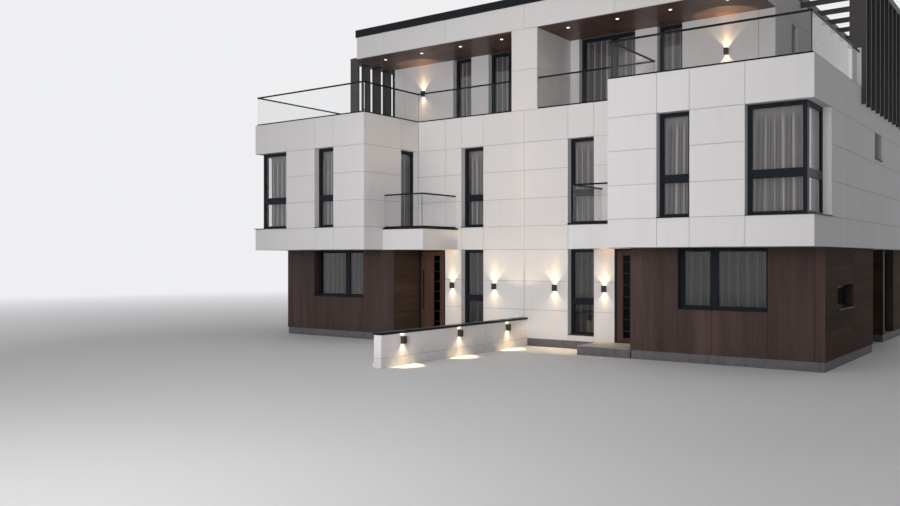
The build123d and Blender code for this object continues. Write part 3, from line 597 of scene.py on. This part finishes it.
def openingsOn(face, ends):
    # the frames that stand a little behind a face; one that nearly meets the face's end
    # belongs to a corner window and runs to that end
    axis, plane, out = face
    k = "xyz".index(axis)
    u = 1 - k
    nearest, furthest = frameSearch["behind"]
    gapLow, gapHigh = frameSearch["cornerGap"]
    found = []
    for lowest, highest in frameBoxes:
        near = (plane - highest[k]) if out > 0 else (lowest[k] - plane)
        left, right = lowest[u], highest[u]
        if (nearest < near < furthest and highest[k] - lowest[k] < frameSearch["thickest"]
                and left > ends[0] - frameSearch["slack"]
                and right < ends[1] + frameSearch["slack"]):
            left = ends[0] if gapLow < left - ends[0] < gapHigh else left
            right = ends[1] if gapLow < ends[1] - right < gapHigh else right
            found.append((left, right, lowest[2], highest[2]))
    return found


def jointsOn(span, values, margin=0.05):
    # a face's ends, and its joints that keep a margin from them
    between = [v for v in sorted(values) if span[0] + margin < v < span[1] - margin]
    return [span[0], *between, span[1]]


def cladFace(name, face, ends, levels, columns, rows, replaced, coat="white", openings=()):
    # panels over one flat face, between its joints and round its openings
    slotName, finish, jointFinish = coats[coat]
    cells = cutCells(jointsOn(ends, columns), jointsOn(levels, rows),
                     openingsOn(face, ends) + list(openings))
    points, quads, owner = lidPanels(cells, face, cladding)
    shade = np.random.default_rng(len(name) * 7 + len(cells)).random(len(cells))
    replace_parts(quadMesh(name, points, quads, slotName, finish, tone=shade[owner]), *replaced)
    for nodeName in replaced:
        faces = cores.setdefault(nodeName, (jointFinish, []))[1]
        if face not in faces:
            faces.append(face)


def setBackCore(nodeName, faces, jointFinish, weld=0.00005, near=0.0005):
    # a node without its cladding: corners on a clad face move inwards by the thickness,
    # and the triangles that then lie in that face get the joint's finish
    mesh = nodes[nodeName].data.copy()
    mesh.name = nodeName + "_core"
    merged = bmesh.new()
    merged.from_mesh(mesh)
    bmesh.ops.remove_doubles(merged, verts=merged.verts, dist=weld)
    merged.to_mesh(mesh)
    merged.free()
    points = meshPoints(mesh)
    onFace = np.zeros(len(points), int)
    moved = points.copy()
    for count, (axis, plane, out) in enumerate(faces):
        k = "xyz".index(axis)
        there = np.abs(points[:, k] - plane) < near
        moved[there, k] = plane - out * cladding["thickness"]
        onFace[there] |= 1 << count
    mesh.vertices.foreach_set("co", moved.astype(np.float32).ravel())
    corner = np.empty(len(mesh.loops), int)
    mesh.loops.foreach_get("vertex_index", corner)
    sides = onFace[corner].reshape(-1, 3)
    shared = sides[:, 0] & sides[:, 1] & sides[:, 2]
    mesh.materials.append(jointFinish)
    mesh.polygons.foreach_set("material_index", (shared > 0).astype(np.int32))
    mesh.update()
    core = addObject(nodeName + "_core", mesh)
    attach(core, "building")
    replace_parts(core, nodeName)


lap = cladding["cornerLap"]
firstRows = cladding["levelsFirst"]
topRows = cladding["topLevels"]
plainRows = timber["plainLevels"]
firstSpan = (storeyBase, parapetTop)
groundSpan = (plinthTop, storeyBase)
topSpan = (terraceLevel, roofBase)
upperSpan = (parapetTop, roofBase)
fasciaSpan = (roofBase, fasciaTop)
gardenSpan = (0.0, gardenTop)
front = ("y", mainPlane, -1)
back = ("y", backPlane, 1)

# Each row: name, face, its ends, its levels, joint columns, joint levels, the nodes that it
# stands for, and where it needs them its coat and the parts left out
for faceRow in (
    ("main_front_panels_ground", front, (-groundHalf, groundHalf), groundSpan,
     cladding["groundColumns"], cladding["levelsGround"], ["front_wall_ground"]),
    ("main_front_panels_first", front, (-mainHalf, mainHalf), firstSpan,
     cladding["mainColumns"], firstRows, ["front_wall_first"]),
    ("back_panels_first", back, (-halfWidth, halfWidth), firstSpan,
     cladding["backColumns"], firstRows, ["back_wall_first"]),
    ("back_panels_ground", back, (-rearSide, rearSide), groundSpan,
     cladding["backColumns"], cladding["levelsGround"], ["back_wall_ground"]),
    ("loggia_panels", ("y", loggiaPlane, -1), (-topHalf, topHalf), topSpan,
     cladding["topColumns"], [], ["top_front_wall"], "white",
     [(-pierHalf, pierHalf, *topSpan)]),
    ("top_back_panels", back, (-topHalf, topHalf), upperSpan, cladding["topColumns"], topRows,
     ["top_back_wall"]),
    ("pier_front_panels", front, (-pierHalf, pierHalf), upperSpan, [], topRows, ["loggia_pier"]),
    *(("fascia_panels_" + name, face, (-topHalf, topHalf), fasciaSpan,
       cladding["fasciaColumns"], [], ["roof_fascia"])
      for name, face in (("front", front), ("back", back))),
    ("garden_end_panels", ("y", gardenEnd, -1), (-gardenHalf, gardenHalf), gardenSpan,
     [], cladding["gardenLevels"], ["garden_wall"]),
):
    cladFace(*faceRow)

for sideName, side in (("right", 1), ("left", -1)):
    outer = ("x", side * halfWidth, side)
    topSide = ("x", side * topHalf, side)
    for name, *rest in (
        ("box_front_panels", ("y", boxPlane, -1), sideSpan(side, mainHalf, halfWidth),
         firstSpan, [side * c for c in cladding["boxColumns"]], firstRows, ["box_front_walls"]),
        ("box_inner_panels", ("x", side * mainHalf, -side), (boxPlane + lap, mainPlane),
         firstSpan, cladding["innerColumns"], firstRows, ["box_inner_walls", "box_front_walls"]),
        ("side_panels", outer, (boxPlane + lap, backPlane - lap), firstSpan,
         cladding["sideColumns"], firstRows,
         ["side_walls", "box_front_walls", "back_wall_first"]),
        ("upper_side_panels", outer, (upperStart, backPlane), (parapetTop, rearParapet),
         cladding["sideColumns"], [], ["upper_side_walls"]),
        ("top_side_panels", topSide, (loggiaPlane + lap, backPlane - lap), topSpan,
         cladding["topSideColumns"], topRows,
         ["top_side_walls", "top_front_wall", "top_back_wall"]),
        ("pier_side_panels", ("x", side * pierHalf, side), (mainPlane + lap, loggiaPlane),
         upperSpan, cladding["pierColumns"], topRows, ["loggia_pier"]),
        ("fascia_side_panels", topSide, (mainPlane + lap, backPlane - lap), fasciaSpan,
         cladding["fasciaSideColumns"], [], ["roof_fascia"]),
        ("garden_side_panels", ("x", side * gardenHalf, side), (gardenEnd + lap, mainPlane),
         gardenSpan, cladding["gardenColumns"], cladding["gardenLevels"], ["garden_wall"]),
        ("timber_front_panels", ("y", timberPlane, -1), sideSpan(side, entranceX, timberSide),
         groundSpan, [side * c for c in timber["frontColumns"]], [], ["timber_fronts"],
         "upright"),
        ("timber_side_panels", ("x", side * timberSide, side), (timberPlane + lap, nicheStart),
         groundSpan, timber["sideColumns"], timber["sideLevels"],
         ["timber_sides", "timber_fronts"], "level"),
        ("entrance_side_panels", ("x", side * entranceX, -side),
         (timberPlane + lap, timber["entranceEnd"]), groundSpan, [], plainRows,
         ["timber_entrance_walls", "timber_fronts"], "level"),
        ("niche_panels", ("x", side * nicheX, side), (nicheStart + lap, nicheEnd - lap),
         groundSpan, timber["nicheColumns"], plainRows, ["niche_walls"], "level"),
        ("rear_side_panels", ("x", side * rearSide, side), (nicheEnd + lap, backPlane - lap),
         groundSpan, [], plainRows,
         ["rear_side_walls", "niche_end_walls", "back_wall_ground"], "level"),
        ("niche_front_panels", ("y", nicheStart, 1), sideSpan(side, nicheX, timberSide - lap),
         groundSpan, [], plainRows, ["niche_end_walls", "timber_sides"], "level"),
        ("niche_back_panels", ("y", nicheEnd, -1), sideSpan(side, nicheX, rearSide),
         groundSpan, [], plainRows, ["niche_end_walls"], "level"),
    ):
        cladFace(f"{name}_{sideName}", *rest)

for nodeName, (jointFinish, faces) in cores.items():
    setBackCore(nodeName, faces, jointFinish)
print("villa: cladding set,", len(cores), "cores")


# Curtains: each sheet hangs in soft folds in the place of its solid

curtain = {
    "fold": 0.19,
    "depth": 0.023,
    "fineShare": 0.26,
    "sharpness": 4.0,
    "foldHeights": (0.35, 1.0),
    "slowDrift": (0.9, 3.7),
    "quickDrift": (0.5, 9.1),
    "sway": (0.5, 5.1),
    "fineRates": (2.7, 4.3),
    "secondFine": 0.4,
    "ridgeRise": 1.5,
    "hollowSet": 0.62,
    "headingHeight": 0.10,
    "highHeading": 0.66,
    "headingDepth": 0.08,
    "headingFade": 0.12,
    # tones for the painted light and shade of the folds: light on the ridges, dark in the hollows
    "tones": {"base": 0.04, "ridge": 1.15, "fine": 0.12, "heading": 0.3},
    "cornerReach": 0.09,
    "cornerNear": 0.5,
    "innerNear": 0.6,
    "columns": 18,
    "rows": 16,
}


def outwardOf(lowest, highest, thin):
    # which way along its thin axis an upright sheet looks out of the building; one beside a
    # box's inner wall looks to the middle
    middle = (lowest + highest) / 2
    if thin == 1:
        return -1 if middle[1] < backPlane / 2 else 1
    side = 1 if middle[0] > 0 else -1
    return -side if abs(middle[0]) < mainHalf + curtain["innerNear"] else side


def hangCurtain(name, lowest, highest, seed, heading, finish):
    # ridge = exp(sharpness (cos(phase) - 1)): narrow folds that stand forward of wide hollows,
    # each with its own height and with finer waves between them; all of them grow from the
    # plain heading downwards; a corner window's front sheet runs on past the side sheet's edge
    thin = int(np.argmin(highest - lowest))
    wide = 1 - thin
    out = outwardOf(lowest, highest, thin)
    atFront = thin == 1 and lowest[1] < boxPlane + curtain["cornerNear"]
    if atFront and highest[0] > halfWidth - curtain["cornerNear"]:
        highest = highest + [curtain["cornerReach"], 0, 0]
    if atFront and lowest[0] < curtain["cornerNear"] - halfWidth:
        lowest = lowest - [curtain["cornerReach"], 0, 0]
    width, height = highest[wide] - lowest[wide], highest[2] - lowest[2]
    folds = max(2, round(width / curtain["fold"]))
    u = np.linspace(0.0, 1.0, folds * curtain["columns"] + 1)[None, :]
    v = np.linspace(0.0, 1.0, curtain["rows"] + 1)[:, None]
    rng = np.random.default_rng(seed)
    start, drift = rng.uniform(0, 6.28, 2)
    heights = rng.uniform(*curtain["foldHeights"], folds + 3)
    (slow, slowRate), (quick, quickRate) = curtain["slowDrift"], curtain["quickDrift"]
    sway, swayRate = curtain["sway"]
    uneven = (slow * np.sin(slowRate * u * math.pi + drift)
              + quick * np.sin(quickRate * u + start))
    phase = (2 * math.pi * folds * u + start + uneven
             + sway * np.sin(swayRate * u + drift) * v)
    each = np.interp(phase / (2 * math.pi), np.arange(folds + 3) - 0.5, heights)
    ridge = each * np.exp(curtain["sharpness"] * (np.cos(phase) - 1))
    firstRate, secondRate = curtain["fineRates"]
    fine = (np.sin(firstRate * phase + 3 * v + drift)
            + curtain["secondFine"] * np.sin(secondRate * phase + start))
    shown = np.clip((v * height - heading) / curtain["headingFade"] + 0.5, 0, 1)
    grow = curtain["headingDepth"] + (1 - curtain["headingDepth"]) * shown
    wave = curtain["depth"] * grow * (curtain["ridgeRise"] * ridge - curtain["hollowSet"]
                                      + curtain["fineShare"] * fine)
    points = np.empty(wave.shape + (3,))
    points[..., wide] = lowest[wide] + width * u + 0 * v
    points[..., thin] = (lowest[thin] + highest[thin]) / 2 + out * wave
    points[..., 2] = highest[2] - height * v + 0 * u
    index = np.arange(wave.size).reshape(wave.shape)
    quads = np.stack([index[:-1, :-1], index[1:, :-1], index[1:, 1:], index[:-1, 1:]],
                     axis=-1).reshape(-1, 4)
    if (out > 0) == (thin == 1):
        quads = quads[:, ::-1]
    length = np.sqrt((np.diff(points, axis=1) ** 2).sum(axis=-1)).sum(axis=1).mean()
    uv = np.stack([length * u + 0 * v, height * (1 - v) + 0 * u], axis=-1).reshape(-1, 2)
    # painted light and shade: tone is high on the ridges and fine waves and low in the hollows;
    # the heading keeps one even tone
    tones = curtain["tones"]
    tone = np.clip(tones["base"] + (tones["ridge"] * ridge + tones["fine"] * fine) * grow
                   + tones["heading"] * (1 - grow), 0, 1)
    piece = quadMesh(name, points.reshape(-1, 3), quads, "curtain_cloth", finish,
                     tone=tone.reshape(-1), uv=uv, smooth=True)
    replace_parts(piece, "curtains")


for count, (lowest, highest) in enumerate(solidBoxes("curtains")):
    middleFloor = storeyBase < lowest[2] < terraceLevel
    hangCurtain(f"curtain_{count + 1:02d}", lowest, highest, count,
                curtain["highHeading"] if middleFloor else curtain["headingHeight"],
                groundCloth if lowest[2] < storeyBase else None)
print("villa: curtains hung")


# Glazing beads: a small bevelled bar round both faces of each pane

bead = {"width": 0.010, "rise": 0.0225, "bevel": 0.005, "clearance": 0.0005}


def ringAround(lowest, highest, out, thin, profile):
    # the profile, as pairs of inset and height over the glass, carried round four mitred corners
    wide = 1 - thin
    inset = profile[:, 0][:, None]
    rise = profile[:, 1][:, None] + np.zeros((1, 4))
    points = np.empty((len(profile), 4, 3))
    points[..., wide] = np.where(cornerRight, highest[wide] - inset, lowest[wide] + inset)
    points[..., 2] = np.where(cornerTop, highest[2] - inset, lowest[2] + inset)
    points[..., thin] = (highest[thin] if out > 0 else lowest[thin]) + out * rise
    return points


def carryRings(name, rings, slotName, flips):
    # rings share one closed profile, so each is a grid of profile points by four corners
    rings = np.array(rings)
    steps = rings.shape[1]
    index = np.arange(steps * 4).reshape(steps, 4)
    nextStep, nextCorner = np.roll(index, -1, axis=0), np.roll(index, -1, axis=1)
    both = np.roll(nextStep, -1, axis=1)
    quads = np.stack([index, nextCorner, both, nextStep], axis=-1).reshape(-1, 4)
    allQuads = [(quads[:, ::-1] if flip else quads) + k * steps * 4
                for k, flip in enumerate(flips)]
    quadMesh(name, rings.reshape(-1, 3), np.vstack(allQuads), slotName)


beadProfile = np.array([(0.0, bead["clearance"]), (0.0, bead["rise"]),
                        (bead["width"] - bead["bevel"], bead["rise"]),
                        (bead["width"], bead["rise"] - bead["bevel"]),
                        (bead["width"], bead["clearance"])])
beadRings, beadFlips = [], []
for lowest, highest in solidBoxes("window_glass"):
    thin = int(np.argmin(highest - lowest))
    outward = outwardOf(lowest, highest, thin)
    for out in (outward, -outward):
        beadRings.append(ringAround(lowest, highest, out, thin, beadProfile))
        beadFlips.append((out > 0) == (thin == 1))
carryRings("glazing_beads", beadRings, "dark_frame", beadFlips)
print("villa: beads set,", len(beadRings))


# Flat fields of boards and tiles

soffitBoxes = solidBoxes("loggia_soffit")
soffitLow, soffitHigh = soffitBoxes[0][0][2], soffitBoxes[0][1][2]
porchBoxes = solidBoxes("porch_slabs")
porchTop = porchBoxes[0][1][2]
loggiaBoards = {"size": (1.47, 0.96), "joint": 0.006, "chamfer": 0.002,
                "thickness": soffitHigh - soffitLow}
terraceTiles = {"size": (0.6, 0.6), "joint": 0.004, "chamfer": 0.0015, "thickness": 0.018,
                "edge": 0.012}
soffitPanels = {"size": (1.32, 0.99), "joint": 0.005, "chamfer": 0.0015,
                "thickness": cladding["thickness"]}
porchTiles = {**soffitPanels, "size": (0.58, 0.60)}


def evenSteps(span, size):
    return list(np.linspace(*span, max(1, round((span[1] - span[0]) / size)) + 1))


def layField(name, areas, level, out, field, slotName, finish=None, replaced=()):
    # rectangles cut into even cells and covered with chamfered plates
    cells = []
    for across, along in areas:
        cells += cutCells(evenSteps(across, field["size"][0]),
                          evenSteps(along, field["size"][1]))
    points, quads, owner = lidPanels(cells, ("z", level, out), field)
    shade = np.random.default_rng(len(cells)).random(len(cells))
    piece = quadMesh(name, points, quads, slotName, finish, tone=shade[owner])
    if replaced:
        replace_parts(piece, *replaced)


boardAreas = [((low[0], high[0]), (low[1], high[1])) for low, high in soffitBoxes]
layField("loggia_boards", boardAreas, soffitLow, -1, loggiaBoards, "soffit_timber",
         replaced=["loggia_soffit"])

edge = terraceTiles["edge"]
innerEnd, outerEnd = mainHalf + wallDepth, halfWidth - wallDepth
terraceAreas, soffitAreas = [], []
for side in (1, -1):
    terraceAreas += [
        (sideSpan(side, innerEnd + edge, outerEnd - edge),
         (boxPlane + wallDepth + edge, mainPlane + wallDepth)),
        (sideSpan(side, pierHalf + edge, outerEnd - edge),
         (mainPlane + wallDepth + edge, loggiaPlane - edge)),
        (sideSpan(side, topHalf + edge, outerEnd - edge),
         (loggiaPlane - edge, backPlane - wallDepth - edge)),
    ]
    soffitAreas += [(sideSpan(side, innerEnd, outerEnd), (boxPlane + wallDepth, timberPlane)),
                    (sideSpan(side, nicheX, outerEnd), (nicheStart, nicheEnd))]
layField("terrace_tiles", terraceAreas, terraceLevel + terraceTiles["thickness"], 1,
         terraceTiles, "concrete", terraceTile)
layField("soffit_panels", soffitAreas, storeyBase, -1, soffitPanels, "white_board",
         replaced=["soffit_boards"])
setBackCore("soffit_boards", [("z", storeyBase, -1)], finishes["white_board"])

porchAreas = [((low[0], high[0]), (low[1], mainPlane)) for low, high in porchBoxes]
layField("porch_tiles", porchAreas, porchTop, 1, porchTiles, "grey_plinth", terraceTile,
         replaced=["porch_slabs"])
setBackCore("porch_slabs", [("z", porchTop, 1)], jointShade)
print("villa: boards and tiles laid")


# Lamps: a lit lens in each pocket, and the light that it throws on the wall. A beam starts
# off the wall and leans by tilt degrees towards it; smooth tames it right beside the lamp

lamps = {
    "pocketDepth": 0.035,
    "rim": 0.008,
    "lens": {"joint": 0.004, "rise": 0.004, "thickness": 0.0035, "chamfer": 0.001},
    "beams": {
        "fan": {"power": 68.0, "cone": 96, "tilt": 0.0, "off": 0.022, "blend": 0.25,
                "size": 0.006, "smooth": 0.12, "colour": (1.0, 0.78, 0.45)},
        "wash": {"power": 48.0, "cone": 46, "tilt": -1.0, "off": 0.045, "blend": 1.0,
                 "size": 0.006, "smooth": 0.12, "colour": (1.0, 0.60, 0.25)},
    },
    "downShare": 0.65,
    "ceiling": {"power": 13.0, "cone": 100, "below": 0.012, "blend": 0.85, "size": 0.03,
                "smooth": 0.0, "colour": (1.0, 0.74, 0.45)},
}


def addSpot(name, place, target, beam, share=1.0):
    data = bpy.data.lights.new(name, "SPOT")
    data.energy = beam["power"] * share
    data.color = beam["colour"]
    data.spot_size = math.radians(beam["cone"])
    data.spot_blend = beam["blend"]
    data.shadow_soft_size = beam["size"]
    data.use_nodes = True
    tree = data.node_tree
    falloff = addNode(tree, "LightFalloff", {"Strength": 1.0, "Smooth": beam["smooth"]})
    setInputs(tree, tree.nodes["Emission"], {"Strength": falloff.outputs["Quadratic"]})
    aimAt(addObject(name, data), place, target)


def toWall(lowest, highest):
    # the way from a wall lamp to the wall that carries it: its depth is less than its width
    if highest[0] - lowest[0] > highest[1] - lowest[1]:
        return np.array([0.0, 1.0, 0.0])
    return np.array([-np.sign(lowest[0]), 0.0, 0.0])


lampBoxes = solidBoxes("wall_lamps")
lens = lamps["lens"]
for side, level in (("up", 1), ("down", -1)):
    allPoints, allQuads, offset = [], [], 0
    for count, (lowest, highest) in enumerate(lampBoxes):
        rise = (highest if level > 0 else lowest)[2]
        lensFace = ("z", rise - level * lamps["pocketDepth"] + level * lens["rise"], level)
        cell = [(lowest[0] + lamps["rim"], highest[0] - lamps["rim"],
                 lowest[1] + lamps["rim"], highest[1] - lamps["rim"])]
        points, quads, _ = lidPanels(cell, lensFace, lens)
        allPoints.append(points)
        allQuads.append(quads + offset)
        offset += len(points)
        wallward = toWall(lowest, highest)
        wallSpot = np.where(wallward, np.where(wallward > 0, highest, lowest),
                            (lowest + highest) / 2)
        for beamName, beam in lamps["beams"].items():
            start = wallSpot - wallward * beam["off"]
            start[2] = rise
            aim = start + wallward * math.tan(math.radians(beam["tilt"])) + [0, 0, level]
            addSpot(f"lamp_{side}_{beamName}_{count}", start, aim, beam,
                    1.0 if level > 0 else lamps["downShare"])
    quadMesh("lamp_lenses_" + side, np.vstack(allPoints), np.vstack(allQuads),
             "downlight_lens", lampGlow)

for count, (lowest, highest) in enumerate(solidBoxes("downlights")):
    x, y, _ = (lowest + highest) / 2
    addSpot(f"downlight_{count}", (x, y, lowest[2] - lamps["ceiling"]["below"]), (x, y, 0.0),
            lamps["ceiling"])
print("villa: lamps lit,", len(lampBoxes))


# Door inlay: slim bars over the dark glass strip of each entrance door

inlay = {"pitch": 0.30, "bar": 0.022, "thickness": 0.010, "setback": 0.003,
         "joint": 0.0004, "chamfer": 0.003}
for sideName in ("right", "left"):
    glassLow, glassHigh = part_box("door_glass_" + sideName)
    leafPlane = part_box("door_" + sideName)[0][1]
    glassHeight = glassHigh[2] - glassLow[2]
    bars = int(glassHeight // inlay["pitch"])
    first = glassLow[2] + (glassHeight - (bars - 1) * inlay["pitch"]) / 2
    cells = [(glassLow[0], glassHigh[0], z - inlay["bar"] / 2, z + inlay["bar"] / 2)
             for z in first + inlay["pitch"] * np.arange(bars)]
    points, quads, _ = lidPanels(cells, ("y", leafPlane + inlay["setback"], -1), inlay)
    quadMesh("door_inlay_" + sideName, points, quads, "black_handle",
             body="entrance_door_" + sideName)
print("villa: doors dressed")


# Studio: a pale floor that fades into the background, soft light, and the camera. Each light
# has its place, its target, its power, its size and its spread

studio = {
    "floorReach": 420.0,
    "floorLevel": -0.001,
    "floorColour": (0.70, 0.70, 0.71, 1),
    "floorRoughness": 0.8,
    "floorFade": (13.0, 42.0),
    "backgroundColour": (0.86, 0.865, 0.88, 1),
    "worldStrength": 0.33,
    "lightColour": (1.0, 0.985, 0.975),
    "lights": {"softKey": ((-8.0, -36.0, 24.0), (0.0, 3.0, 4.0), 1670.0, 22.0, 180),
               "softFill": ((7.5, -24.0, 5.0), (-2.5, 0.0, 4.5), 965.0, 8.0, 95),
               "softBack": ((0.0, 42.0, 26.0), (0.0, 8.0, 4.0), 3600.0, 16.0, 130)},
    "cameraPlace": (12.779, -20.938, 2.466),
    "cameraYaw": 36.261,
    "cameraLens": 34.849,
    "cameraShift": 0.00506,
    "cameraReach": 900.0,
}


def seenRay(tree):
    # 1 for what the camera sees, straight or in a reflection or through glass
    rays = addNode(tree, "LightPath").outputs
    indirect = mathNode(tree, "MAXIMUM", rays["Is Glossy Ray"], rays["Is Transmission Ray"])
    return mathNode(tree, "MAXIMUM", rays["Is Camera Ray"], indirect)


floorMaterial, tree, shader, place = newMaterial("studioFloor")
setInputs(tree, shader, {"Base Color": studio["floorColour"],
                         "Roughness": studio["floorRoughness"]})
reach = addNode(tree, "VectorMath", {0: place}, operation="LENGTH").outputs["Value"]
fade = rangeNode(tree, reach, studio["floorFade"], whole)
far = addNode(tree, "Emission", {"Color": studio["backgroundColour"]})
mix = addNode(tree, "MixShader", {0: mathNode(tree, "MULTIPLY", fade, seenRay(tree)),
                                  1: shader.outputs[0], 2: far.outputs[0]})
setInputs(tree, tree.nodes["Material Output"], {0: mix.outputs[0]})
floorCorners = [(x * studio["floorReach"], y * studio["floorReach"], studio["floorLevel"])
                for x, y in ((-1, -1), (1, -1), (1, 1), (-1, 1))]
floorMesh = bpy.data.meshes.new("studio_floor")
floorMesh.from_pydata(floorCorners, [], [(0, 1, 2, 3)])
floorMesh.materials.append(floorMaterial)
addObject("studio_floor", floorMesh)

world = bpy.data.worlds.new("studioWorld")
bpy.context.scene.world = world
world.use_nodes = True
tree = world.node_tree
setInputs(tree, tree.nodes["Background"], {
    "Color": studio["backgroundColour"],
    "Strength": rangeNode(tree, seenRay(tree), whole, (studio["worldStrength"], 1.0))})

for name, (place, target, power, size, spread) in studio["lights"].items():
    panel = bpy.data.lights.new(name, "AREA")
    panel.energy = power
    panel.shape = "DISK"
    panel.size = size
    panel.spread = math.radians(spread)
    panel.color = studio["lightColour"]
    panelObject = addObject(name, panel)
    panelObject.visible_camera = False
    panelObject.visible_glossy = False
    panelObject.visible_transmission = False
    aimAt(panelObject, place, target)

camera = bpy.data.cameras.new("viewpoint")
camera.lens = studio["cameraLens"]
camera.shift_y = studio["cameraShift"]
camera.clip_end = studio["cameraReach"]
cameraObject = addObject("viewpoint", camera)
cameraObject.location = studio["cameraPlace"]
cameraObject.rotation_euler = (math.radians(90), 0.0, math.radians(studio["cameraYaw"]))
bpy.context.scene.camera = cameraObject
bpy.context.scene.view_settings.view_transform = "Standard"
print("villa: studio ready")
